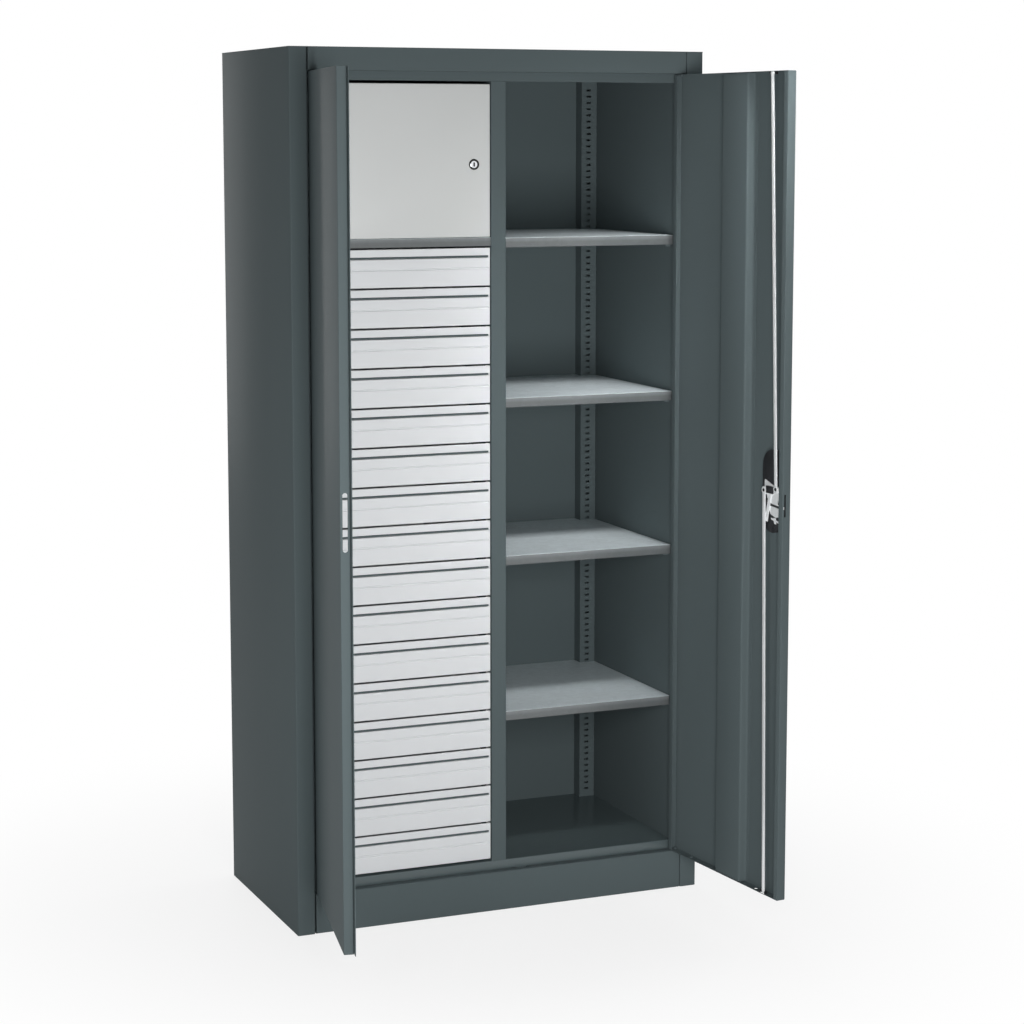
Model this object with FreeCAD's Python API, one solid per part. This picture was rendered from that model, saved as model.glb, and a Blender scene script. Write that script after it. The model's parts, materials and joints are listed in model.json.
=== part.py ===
import FreeCAD, Part
import math
import os

os.makedirs("parts", exist_ok=True)

# Swing door cabinet, in millimetres. X runs to the right seen from the front, Y into the cabinet, Z up.
# The origin is the centre of the carcass footprint on the floor.

# Overall sizes.
HEIGHT = 1950.0
WIDTH = 985.0
DEPTH = 500.0
SHEET = 1.2            # carcass sheet
THIN = 0.9             # sheet of doors, shelves and drawers
CLEAR = 0.4            # free gap beside a sliding or swinging piece
FIT = 0.05             # radial clearance of a shaft in its hole

# Front frame.
STILE = 40.0           # width of a side stile
RETURN = 25.0          # how far the frame turns in before the stop flange
STOP = 12.0            # width of the stop flange
HEADER = 50.0          # height of the header
STOP_RAIL = 20.0       # how far the top stop rail hangs below the header
RAIL_RETURN = 15.0     # depth of the stop rail's bottom return
PLINTH = 90.0          # height of the plinth
PLINTH_GAP = 0.4       # joint between plinth and stile
LEDGE_DROP = 20.0      # turn down behind the plinth's ledge
FLOOR_TOP = 110.0
FLOOR_BAND = 35.0      # height of the floor's front band
BACK_INSET = 10.5      # back panel behind the rear edge of the sides
REAR_RETURN = 20.0     # width of the sides' rear return

# Inside.
PARTITION = 36.0
PARTITION_SETBACK = 20.0   # from the stop plane to the upper part of the partition's walls
LINING_RIGHT = 1.5         # from the stop flange's edge to the right lining's inner face
LINING_LEFT = 14.5         # the same on the left
UPRIGHT = 40.0
UPRIGHT_DEPTH = 33.3       # slotted face in front of the back panel
SLOT_PITCH = 15.0
SLOT_FIRST = 130.5
SLOT_MARGIN = 70.0         # free height above the top slot, at least
SLOT_WIDTH = 11.0
SLOT_HEIGHT = 5.0
SLOT_OFFSET = 18.5         # slot centre from the upright's inner edge
CROSS_RAIL = 40.0

# Shelves. Each hangs in the slots counted here from the bottom.
SHELF_SLOTS = (20, 44, 68, 92)
SHELF_EDGE = 22.0
SHELF_SETBACK = 10.0       # front edge behind the stop plane
SHELF_PLAY = 1.0
SHELF_LIP = 27.0
FRONT_LIP = 14.0
CLIP_HEIGHT = 5.0
CLIP_REACH = 12.0
CLIP_TONGUE = 6.0
CLIP_WIDTH = 9.0
CLIP_INSET = 20.0          # front clips behind the shelf's front edge
TONGUE_PLAY = 0.25         # tongue in its slot
LOCKER_SPACE = 363.0       # from the locker's floor up to the header
LOCKER_FLOOR_EDGE = 19.5
LOCKER_FLOOR_SETBACK = 3.0

# Drawers.
DRAWER_COUNT = 16
DRAWER_GAP = 3.4           # between two fronts
DRAWER_TOP_GAP = 3.5       # top front under the locker's floor
DRAWER_BOTTOM_GAP = 5.8    # bottom front above the cabinet's floor
DRAWER_SIDE_GAP = 3.0
GRIP_BAND = 16.5           # height of the grip band along the top
GRIP_SHADOW = 4.5          # underside of the band
GRIP_RECESS = 24.0         # sloping recess below it
GRIP_DEPTH = 8.0
FRONT_THICKNESS = 18.0
FRONT_CAP = 4.0            # end cap of the front
BOTTOM_RETURN = 11.0
TRAY_DROP = 14.0           # tray rim below the front's top edge
TRAY_RISE = 4.0            # tray bottom above the front's bottom edge
TRAY_SPACE = 45.3          # free depth behind a closed tray
TRAY_INSET = 0.5
RUNNER_SPACE = 39.9        # free depth behind a runner
RUNNER_WIDTH = 14.0
RUNNER_HEIGHT = 20.0

# Doors.
DOOR_GAP = 2.0             # above and below a door
DOOR_DEPTH_LEFT = 21.0
DOOR_DEPTH_RIGHT = 20.5
HINGE_GAP = 2.0
MEETING = -8.5             # X of the line where the doors meet
MEETING_GAP = 2.0
PAN_LIP = 15.0
PIVOT_IN = 8.0             # pivot from the hinge edge
PIVOT_BACK = 5.0           # pivot from the outer face
PIN_RADIUS = 3.0
PIN_REACH = 7.0            # pin beyond the door's edge
PIN_HEAD_RADIUS = 4.0
PIN_HEAD = 3.0
REST_LEFT = 101.0          # degrees open in the rest pose
REST_RIGHT = 95.0
LIP_OUT = 19.0             # left door's stop lip beyond its free edge
LIP_IN = 26.0
LIP_SHEET = 1.5
LIP_SHORT = 2.0            # lip ends inside the door's top and bottom edges
LEFT_SLOT = (929.0, 1050.0)
LEFT_SLOT_DEPTHS = (5.0, 15.4)
RIGHT_SLOT = (944.0, 994.0)
RIGHT_SLOT_DEPTHS = (11.9, 16.3)
HAT_TOP = (200.0, 287.0)   # stiffener's crown, from the hinge edge
HAT_FOOT = (183.0, 318.0)
HAT_STEP = 3.0
HAT_SLOPE = 18.0
HAT_HEIGHT = 17.5
HAT_END = 20.0             # stiffener ends inside the door's edges
DRAIN_HOLES = (90.0, 360.0)
DRAIN_RADIUS = 4.0
DRAIN_DEPTH = 11.0

# Lock on the right door. Its places across the door are counted from the door's free edge.
TUB_SPAN = (92.0, 18.0)
TUB_HEIGHTS = (903.0, 1085.0)
TUB_DEPTH = 11.0
TUB_SHEET = 1.5
TUB_RIM = 6.0
LOCK_INSET = 55.5
LOCK_Z = 998.0
PLATE_SPAN = (66.0, 21.0)
PLATE_HEIGHTS = (937.0, 1022.0)
CAM_GAP = 0.3              # air between lock plate and cam, and between cam and rods
CAM_SHEET = 2.0
CAM_HUB = 13.0
CAM_RADIUS = 23.0
CAM_LOBE = 7.5
CAM_ANGLE = 8.0            # of the pins at rest
CAM_PIN = 3.5
ARM_REACH = 73.0
ARM_WIDTH = 10.0
ARM_ANGLE = -103.0         # points down at rest
SPINDLE = 5.0
NUT_RADIUS = 8.0
NUT_HEIGHT = 4.0
ROD_SHEET = 2.5
ROD_WIDTH = 10.0
ROD_EYE = 8.0
ROD_END = 1.5              # rod tip inside the door's edge
PIN_CAP = 0.6
UPPER_GUIDE = 65.5         # where each rod leaves the door
LOWER_GUIDE = 60.5
GUIDE_SLOT = (6.5, 11.5)   # slot from the guide point, to its narrow and wide side
GUIDE_DEPTHS = (14.0, 19.0)
GUIDE_WALL = 2.0
GUIDE_HEIGHT = 6.0
CATCH_SLOT = (24.5, 13.0)  # slot in ledge and header, along X and Y
CATCH_BACK = 2.0           # slot's rear edge before the stop flange
WING_LENGTH = 66.0
WING_WIDTH = 20.0
WING_DEPTHS = (2.0, 8.5)
KEY_RADIUS = 8.0
KEY_DEPTHS = (0.8, 2.0)
KEY_SLOT = (1.6, 8.0)

# Locker door.
LOCKER_GAP = 1.0           # above the locker's floor
LOCKER_TOP_GAP = 6.0       # below the stop rail
LOCKER_SIDE_GAPS = (3.0, 2.5)
LOCKER_DEPTH = 18.0
LOCKER_PIN_REACH = 9.0
LOCKER_PIN_DROP = 4.0
LOCKER_LOCK_INSET = 38.5   # from the door's free edge
LOCKER_LOCK_RISE = 160.0   # from the door's bottom edge
BARREL_RADIUS = 9.0
BARREL_RING = 12.0
BARREL_RING_DEPTH = 1.5
BARREL_LENGTH = 22.0
LOCKER_CAM_REACH = 46.0
LOCKER_CAM_WIDTH = 14.0
LOCKER_CAM_SHEET = 2.0
LOCKER_CAM_SLOT = (24.0, 9.0, 8.0)   # below and above the lock, and deep

# Feet and rivets.
FOOT_RADIUS = 20.0
FOOT_HEIGHT = 10.0
STUD_RADIUS = 5.0
FOOT_INSET = (60.0, 50.0)
RIVET_RADIUS = 4.5
RIVET_HEAD = 2.0
RIVET_ROWS = 6
RIVET_MARGIN = 120.0

# Places that follow from the sizes.
half_w = WIDTH / 2
front = -DEPTH / 2
rear = DEPTH / 2
opening = half_w - STILE
flange = opening - STOP
stop_y = front + RETURN
back_y = rear - BACK_INSET - SHEET
roof_z = HEIGHT - SHEET
header_z = HEIGHT - HEADER
half_p = PARTITION / 2
lining_left = flange - LINING_LEFT
lining_right = flange - LINING_RIGHT
upright_face = back_y - UPRIGHT_DEPTH
slot_count = int((roof_z - SLOT_MARGIN - SLOT_FIRST) / SLOT_PITCH) + 1
shelf_tops = [SLOT_FIRST + count * SLOT_PITCH + CLIP_HEIGHT / 2 + SHELF_EDGE for count in SHELF_SLOTS]
shelf_front = stop_y + SHELF_SETBACK
deck_z = header_z - LOCKER_SPACE
deck_front = stop_y + LOCKER_FLOOR_SETBACK
drawer_top = deck_z - LOCKER_FLOOR_EDGE - DRAWER_TOP_GAP
drawer_bottom = FLOOR_TOP + DRAWER_BOTTOM_GAP
drawer_pitch = (drawer_top - drawer_bottom + DRAWER_GAP) / DRAWER_COUNT
drawer_height = drawer_pitch - DRAWER_GAP
drawer_left = -lining_left + DRAWER_SIDE_GAP
drawer_right = -half_p - DRAWER_SIDE_GAP
door_top = header_z - DOOR_GAP
door_bottom = PLINTH + DOOR_GAP
door_edge = opening - HINGE_GAP
pivot_x = door_edge - PIVOT_IN
pivot_y = front + PIVOT_BACK
left_width = MEETING - MEETING_GAP / 2 + door_edge
right_width = door_edge - MEETING - MEETING_GAP / 2
tub_span = (right_width - TUB_SPAN[0], right_width - TUB_SPAN[1])
plate_span = (right_width - PLATE_SPAN[0], right_width - PLATE_SPAN[1])
lock_s = right_width - LOCK_INSET
upper_guide = right_width - UPPER_GUIDE
lower_guide = right_width - LOWER_GUIDE
cam_d = TUB_DEPTH + TUB_SHEET + CAM_GAP
rod_d = cam_d + CAM_SHEET + CAM_GAP
locker_left = -lining_left + LOCKER_SIDE_GAPS[0]
locker_right = -half_p - LOCKER_SIDE_GAPS[1]
locker_bottom = deck_z + LOCKER_GAP
locker_top = header_z - STOP_RAIL - LOCKER_TOP_GAP
locker_lock_x = locker_right - LOCKER_LOCK_INSET
locker_lock_z = locker_bottom + LOCKER_LOCK_RISE
locker_pivot_x = locker_left + PIVOT_IN
locker_pivot_y = stop_y + PIVOT_BACK
locker_cam_y = stop_y + BARREL_LENGTH + LOCKER_CAM_SHEET / 2
upright_left = half_p + SHELF_PLAY
upright_right = lining_right - SHELF_PLAY - UPRIGHT
UP = FreeCAD.Vector(0, 0, 1)
INWARD = FreeCAD.Vector(0, 1, 0)


def box(x0, x1, y0, y1, z0, z1):
    """Box between two corners."""
    return Part.makeBox(x1 - x0, y1 - y0, z1 - z0, FreeCAD.Vector(x0, y0, z0))


def pin(x, y, z, radius, length, axis=UP):
    """Round bar from a point along an axis."""
    return Part.makeCylinder(radius, length, FreeCAD.Vector(x, y, z), axis)


def joined(shapes):
    """One solid from touching pieces."""
    return shapes[0].multiFuse(shapes[1:]).removeSplitter()


def offset_line(points, thickness):
    """The line moved sideways, with mitred corners."""
    count = len(points)
    moved = []
    for i in range(count):
        normals = []
        for a, b in ((i - 1, i), (i, i + 1)):
            if a < 0 or b >= count:
                continue
            run = (points[b][0] - points[a][0], points[b][1] - points[a][1])
            size = math.hypot(run[0], run[1])
            normals.append((-run[1] / size, run[0] / size))
        nx = sum(n[0] for n in normals)
        ny = sum(n[1] for n in normals)
        scale = thickness * len(normals) / (nx * nx + ny * ny)
        if len(normals) == 1:
            scale = thickness
        moved.append((points[i][0] + nx * scale, points[i][1] + ny * scale))
    return moved


def extruded(outline, start, end, along):
    """Closed outline carried along X, Y or Z. The outline's pair is the other two axes in order."""
    corners = []
    for a, b in outline:
        if along == "X":
            corners.append(FreeCAD.Vector(start, a, b))
        elif along == "Y":
            corners.append(FreeCAD.Vector(a, start, b))
        else:
            corners.append(FreeCAD.Vector(a, b, start))
    run = {"X": FreeCAD.Vector(1, 0, 0), "Y": INWARD, "Z": UP}[along]
    face = Part.Face(Part.makePolygon(corners + corners[:1]))
    return face.extrude(run * (end - start))


def folded(points, thickness, start, end, along):
    """Folded sheet: a line given thickness to its left (negative to its right), carried along an axis."""
    inner = offset_line(points, thickness)
    return extruded(points + inner[::-1], start, end, along)


def stadium(s0, s1, z0, z1, d0, d1):
    """Block with round top and bottom, along Y."""
    radius = (s1 - s0) / 2
    mid = (s0 + s1) / 2
    low = pin(mid, d0, z0 + radius, radius, d1 - d0, INWARD)
    high = pin(mid, d0, z1 - radius, radius, d1 - d0, INWARD)
    return joined([box(s0, s1, d0, d1, z0 + radius, z1 - radius), low, high])


def save(name, shapes):
    """Write one node, which may hold several separate solids."""
    shape = shapes[0] if len(shapes) == 1 else Part.makeCompound(shapes)
    shape.exportStep("parts/" + name + ".step")


# Door pieces are drawn in door coordinates: X from the hinge edge, Y from the outer face, Z up.
def on_left_door(shape):
    placed = shape.copy()
    placed.translate(FreeCAD.Vector(-door_edge, front, 0))
    placed.rotate(FreeCAD.Vector(-pivot_x, pivot_y, 0), UP, -REST_LEFT)
    return placed


def on_right_door(shape):
    placed = shape.mirror(FreeCAD.Vector(0, 0, 0), FreeCAD.Vector(1, 0, 0))
    placed.translate(FreeCAD.Vector(door_edge, front, 0))
    placed.rotate(FreeCAD.Vector(pivot_x, pivot_y, 0), UP, REST_RIGHT)
    return placed


def side_line():
    """Plan of the right side panel: stop flange, return, stile, outer wall, rear return."""
    wall_end = half_w - REAR_RETURN
    return [(flange, stop_y), (opening, stop_y), (opening, front), (half_w, front),
            (half_w, rear), (wall_end, rear), (wall_end, rear - BACK_INSET)]


def mirrored(line):
    return [(-x, y) for x, y in line]


def side_panels():
    save("side_panel_right", [folded(side_line(), SHEET, 0, roof_z, "Z")])
    save("side_panel_left", [folded(mirrored(side_line()), -SHEET, 0, roof_z, "Z")])


def catch_slot(x, z0, z1):
    """Cutter for the slot that a lock rod enters."""
    rear_edge = stop_y - CATCH_BACK
    return box(x - CATCH_SLOT[0] / 2, x + CATCH_SLOT[0] / 2, rear_edge - CATCH_SLOT[1], rear_edge, z0, z1)


def pivot_cutters(z0, z1):
    """Cutters for the two pivot holes of the doors."""
    return [pin(x, pivot_y, z0, PIN_RADIUS + FIT, z1 - z0) for x in (-pivot_x, pivot_x)]


def header_rail():
    outer = opening - PLINTH_GAP
    face = box(-outer, outer, front, front + SHEET, header_z, roof_z)
    under = box(-outer, outer, front, stop_y, header_z, header_z + SHEET)
    rail_z = header_z - STOP_RAIL
    hang = box(-lining_left, lining_right, stop_y, stop_y + SHEET, rail_z, header_z + SHEET)
    foot = box(-lining_left, lining_right, stop_y, stop_y + RAIL_RETURN, rail_z, rail_z + SHEET)
    rail = joined([face, under, hang, foot])
    z0 = header_z - SHEET
    z1 = header_z + 2 * SHEET
    hole_z = rail_z - SHEET
    locker_pin = pin(locker_pivot_x, locker_pivot_y, hole_z, PIN_RADIUS + FIT, 3 * SHEET)
    cutters = pivot_cutters(z0, z1) + [catch_slot(door_edge - upper_guide, z0, z1), locker_pin]
    save("header_rail", [rail.cut(Part.makeCompound(cutters))])


def plinth():
    outer = opening - PLINTH_GAP
    face = box(-outer, outer, front, front + SHEET, 0, PLINTH)
    ledge = box(-outer, outer, front, stop_y, PLINTH - SHEET, PLINTH)
    turn = box(-outer, outer, stop_y - SHEET, stop_y, PLINTH - LEDGE_DROP, PLINTH)
    foot = box(-outer, outer, front, stop_y, 0, SHEET)
    z0 = PLINTH - 2 * SHEET
    z1 = PLINTH + SHEET
    cutters = pivot_cutters(z0, z1) + [catch_slot(door_edge - lower_guide, z0, z1)]
    save("plinth_front", [joined([face, ledge, turn, foot]).cut(Part.makeCompound(cutters))])


def floor_and_roof():
    wall = half_w - SHEET
    band = box(-flange, flange, stop_y, stop_y + SHEET, FLOOR_TOP - FLOOR_BAND, FLOOR_TOP)
    plate = box(-wall, wall, stop_y + SHEET, back_y, FLOOR_TOP - SHEET, FLOOR_TOP)
    save("floor_panel", [joined([band, plate])])
    save("roof_panel", [box(-half_w, half_w, front, rear, roof_z, HEIGHT)])
    save("back_panel", [box(-wall, wall, back_y, back_y + SHEET, 0, roof_z)])
    rail = CROSS_RAIL / 2
    line = [(-rail, FLOOR_TOP - SHEET), (-rail, 0), (rail, 0), (rail, FLOOR_TOP - SHEET)]
    save("base_cross_rail", [folded(line, SHEET, stop_y + SHEET, back_y, "Y")])


def partition():
    top = header_z - STOP_RAIL
    line = [(-half_p, back_y), (-half_p, stop_y), (half_p, stop_y), (half_p, back_y)]
    lower = folded(line, SHEET, FLOOR_TOP, top, "Z")
    shapes = [lower]
    for x0 in (-half_p, half_p - SHEET):
        shapes.append(box(x0, x0 + SHEET, stop_y + PARTITION_SETBACK, back_y, top, roof_z))
    below, above, deep = LOCKER_CAM_SLOT
    slot = box(-half_p - SHEET, -half_p + 2 * SHEET, locker_cam_y - deep / 2, locker_cam_y + deep / 2,
               locker_lock_z - below, locker_lock_z + above)
    cutters = [slot] + front_clip_slots(half_p - SHEET, half_p)
    save("partition", [joined(shapes).cut(Part.makeCompound(cutters))])


def front_clip_slots(x0, x1):
    """Slots for the front shelf clips in an upright wall between two X values."""
    y = shelf_front + CLIP_INSET
    slots = []
    for top in shelf_tops:
        z = top - SHELF_EDGE - CLIP_HEIGHT / 2
        half_z = SLOT_HEIGHT / 2 + TONGUE_PLAY
        half_y = CLIP_WIDTH / 2 + TONGUE_PLAY
        slots.append(box(x0 - SHEET, x1 + SHEET, y - half_y, y + half_y, z - half_z, z + half_z))
    return slots


def linings():
    right = box(lining_right, lining_right + SHEET, stop_y, back_y, FLOOR_TOP, roof_z)
    cutters = front_clip_slots(lining_right, lining_right + SHEET)
    save("lining_right", [right.cut(Part.makeCompound(cutters))])
    line = [(-flange, stop_y), (-lining_left, stop_y), (-lining_left, back_y)]
    save("lining_left", [folded(line, SHEET, FLOOR_TOP, roof_z, "Z")])


def rear_uprights():
    solids = []
    for x0, slot_x in ((upright_left, upright_left + UPRIGHT - SLOT_OFFSET),
                       (upright_right, upright_right + SLOT_OFFSET)):
        x1 = x0 + UPRIGHT
        line = [(x0, back_y), (x0, upright_face), (x1, upright_face), (x1, back_y)]
        channel = folded(line, SHEET, FLOOR_TOP, roof_z, "Z")
        slots = []
        for i in range(slot_count):
            z = SLOT_FIRST + i * SLOT_PITCH
            slots.append(box(slot_x - SLOT_WIDTH / 2, slot_x + SLOT_WIDTH / 2, upright_face - SHEET,
                             upright_face + 2 * SHEET, z - SLOT_HEIGHT / 2, z + SLOT_HEIGHT / 2))
        solids.append(channel.cut(Part.makeCompound(slots)))
    save("rear_uprights", solids)


def shelves():
    x0 = half_p + SHELF_PLAY
    x1 = lining_right - SHELF_PLAY
    notch = UPRIGHT + SHELF_PLAY
    notch_y = upright_face - SHELF_PLAY
    rear_y = back_y - SHELF_PLAY
    for number, top in enumerate(shelf_tops):
        low = top - SHELF_EDGE
        pieces = [
            box(x0, x1, shelf_front, notch_y, top - THIN, top),
            box(x0 + notch, x1 - notch, notch_y, rear_y, top - THIN, top),
            box(x0, x1, shelf_front, shelf_front + THIN, low, top),
            box(x0, x1, shelf_front, shelf_front + FRONT_LIP, low, low + THIN),
            box(x0, x0 + THIN, shelf_front, notch_y, low, top),
            box(x1 - THIN, x1, shelf_front, notch_y, low, top),
            box(x0, x0 + SHELF_LIP, shelf_front, notch_y, low, low + THIN),
            box(x1 - SHELF_LIP, x1, shelf_front, notch_y, low, low + THIN),
            box(x0 + notch, x1 - notch, rear_y - THIN, rear_y, low, top),
        ]
        save("shelf_" + str(number + 1), [joined(pieces)])


def shelf_clips():
    solids = []
    for top in shelf_tops:
        z1 = top - SHELF_EDGE
        z0 = z1 - CLIP_HEIGHT
        t0 = z0 + TONGUE_PLAY
        t1 = z1 - TONGUE_PLAY
        half = CLIP_WIDTH / 2
        for x in (upright_left + UPRIGHT - SLOT_OFFSET, upright_right + SLOT_OFFSET):
            seat = box(x - half, x + half, upright_face - CLIP_REACH, upright_face, z0, z1)
            tongue = box(x - half, x + half, upright_face, upright_face + CLIP_TONGUE, t0, t1)
            solids.append(joined([seat, tongue]))
        y = shelf_front + CLIP_INSET
        for wall, side in ((half_p, 1), (lining_right, -1)):
            reach = wall + side * CLIP_REACH
            behind = wall - side * CLIP_TONGUE
            seat = box(min(wall, reach), max(wall, reach), y - half, y + half, z0, z1)
            tongue = box(min(wall, behind), max(wall, behind), y - half, y + half, t0, t1)
            solids.append(joined([seat, tongue]))
    save("shelf_clips", solids)


def locker_floor():
    x0 = -lining_left
    x1 = -half_p
    low = deck_z - LOCKER_FLOOR_EDGE
    pieces = [
        box(x0, x1, deck_front, back_y, deck_z - THIN, deck_z),
        box(x0, x1, deck_front, deck_front + THIN, low, deck_z),
        box(x0, x1, deck_front, deck_front + FRONT_LIP, low, low + THIN),
        box(x0, x1, back_y - THIN, back_y, low, deck_z),
    ]
    hole = pin(locker_pivot_x, locker_pivot_y, low - THIN, PIN_RADIUS + FIT, SHELF_EDGE + THIN)
    save("locker_shelf", [joined(pieces).cut(hole)])


def drawer_zs(number):
    top = drawer_top - number * drawer_pitch
    return top - drawer_height, top


def drawer_runners():
    solids = []
    y0 = stop_y + FRONT_THICKNESS + CLEAR
    y1 = back_y - RUNNER_SPACE
    for number in range(DRAWER_COUNT):
        ledge_top = drawer_zs(number)[0] + TRAY_RISE - CLEAR
        ledge = ledge_top - SHEET
        top = ledge + RUNNER_HEIGHT
        left = [(-lining_left, top), (-lining_left, ledge), (-lining_left + RUNNER_WIDTH, ledge)]
        right = [(-half_p - RUNNER_WIDTH, ledge), (-half_p, ledge), (-half_p, top)]
        solids.append(folded(left, SHEET, y0, y1, "Y"))
        solids.append(folded(right, SHEET, y0, y1, "Y"))
    save("drawer_runners", solids)


def drawer(number):
    low, top = drawer_zs(number)
    y0 = stop_y
    y1 = y0 + FRONT_THICKNESS
    band = top - GRIP_BAND
    groove = band - GRIP_SHADOW
    line = [(y1, top), (y0, top), (y0, band), (y0 + GRIP_DEPTH, band - THIN), (y0 + GRIP_DEPTH, groove),
            (y0, groove - GRIP_RECESS), (y0, low), (y0 + BOTTOM_RETURN, low)]
    skin = folded(line, THIN, drawer_left, drawer_right, "X")
    caps = []
    for x in (drawer_left, drawer_right - FRONT_CAP):
        caps.append(box(x, x + FRONT_CAP, y0, y1, low, top))
    x0 = drawer_left + TRAY_INSET
    x1 = drawer_right - TRAY_INSET
    floor = low + TRAY_RISE
    rim = top - TRAY_DROP
    end = back_y - TRAY_SPACE
    tray = [
        box(x0, x1, y1, end, floor, floor + THIN),
        box(x0, x0 + THIN, y1, end, floor, rim),
        box(x1 - THIN, x1, y1, end, floor, rim),
        box(x0, x1, end - THIN, end, floor, rim),
        box(x0, x1, y1, y1 + THIN, floor, top),
    ]
    solid = joined([skin] + caps + tray)
    save("drawer_%02d" % (number + 1), [solid])


def door_pan(width, depth):
    """Sheet pan: skin, four flanges, and lips at the inner plane."""
    z0 = door_bottom
    z1 = door_top
    lip = depth - THIN
    shell = box(0, width, 0, depth, z0, z1)
    hollow = box(THIN, width - THIN, THIN, lip, z0 + THIN, z1 - THIN)
    mouth = box(PAN_LIP, width - PAN_LIP, lip - THIN, depth + THIN, z0 + PAN_LIP, z1 - PAN_LIP)
    return shell.cut(hollow).cut(mouth)


def pivot_holes():
    cutters = []
    for z in (door_bottom - THIN, door_top - 2 * THIN):
        cutters.append(pin(PIVOT_IN, PIVOT_BACK, z, PIN_RADIUS + FIT, 3 * THIN))
    return cutters


def door_pivots():
    """Two headed pins, up and down."""
    low = door_bottom + THIN
    high = door_top - THIN
    shank = PIN_REACH + THIN
    bottom = joined([pin(PIVOT_IN, PIVOT_BACK, low, PIN_HEAD_RADIUS, PIN_HEAD),
                     pin(PIVOT_IN, PIVOT_BACK, low - shank, PIN_RADIUS, shank)])
    top = joined([pin(PIVOT_IN, PIVOT_BACK, high - PIN_HEAD, PIN_HEAD_RADIUS, PIN_HEAD),
                  pin(PIVOT_IN, PIVOT_BACK, high, PIN_RADIUS, shank)])
    return [bottom, top]


def hat(height):
    """Hat-shaped stiffener: sheer on the hinge side, sloping on the other."""
    line = [(HAT_FOOT[0], THIN), (HAT_TOP[0] - HAT_STEP, THIN), (HAT_TOP[0], THIN + height),
            (HAT_TOP[1], THIN + height), (HAT_TOP[1] + HAT_SLOPE, THIN), (HAT_FOOT[1], THIN)]
    raised = [(s, d + THIN) for s, d in line]
    return folded(raised, -THIN, door_bottom + HAT_END, door_top - HAT_END, "Z")


def left_door():
    edge = left_width
    slot = stadium_slot(edge - 2 * THIN, edge + THIN, LEFT_SLOT_DEPTHS, LEFT_SLOT)
    pan = door_pan(left_width, DOOR_DEPTH_LEFT).cut(Part.makeCompound(pivot_holes() + [slot]))
    save("left_door_pan", [on_left_door(pan)])
    save("left_door_stiffener", [on_left_door(hat(HAT_HEIGHT))])
    strip = box(edge - LIP_IN, edge + LIP_OUT, DOOR_DEPTH_LEFT, DOOR_DEPTH_LEFT + LIP_SHEET,
                door_bottom + LIP_SHORT, door_top - LIP_SHORT)
    save("left_door_stop_lip", [on_left_door(strip)])
    save("left_door_pivots", [on_left_door(p) for p in door_pivots()])


def stadium_slot(s0, s1, depths, heights):
    """Cutter for a round-ended slot through a leading flange."""
    radius = (depths[1] - depths[0]) / 2
    mid = (depths[0] + depths[1]) / 2
    along = FreeCAD.Vector(1, 0, 0)
    low = pin(s0, mid, heights[0] + radius, radius, s1 - s0, along)
    high = pin(s0, mid, heights[1] - radius, radius, s1 - s0, along)
    return joined([box(s0, s1, depths[0], depths[1], heights[0] + radius, heights[1] - radius), low, high])


def guide_span(guide, wide_side):
    """Slot around a rod: it swings to the wide side while it moves."""
    if wide_side > 0:
        return guide - GUIDE_SLOT[0], guide + GUIDE_SLOT[1]
    return guide - GUIDE_SLOT[1], guide + GUIDE_SLOT[0]


def guide_block(guide, wide_side, z0, z1):
    """Frame around a rod where it leaves the door."""
    s0, s1 = guide_span(guide, wide_side)
    wall = GUIDE_WALL
    outer = box(s0 - wall, s1 + wall, GUIDE_DEPTHS[0] - wall, GUIDE_DEPTHS[1], z0, z1)
    hole = box(s0, s1, GUIDE_DEPTHS[0], GUIDE_DEPTHS[1] + THIN, z0 - THIN, z1 + THIN)
    return outer.cut(hole)


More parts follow.
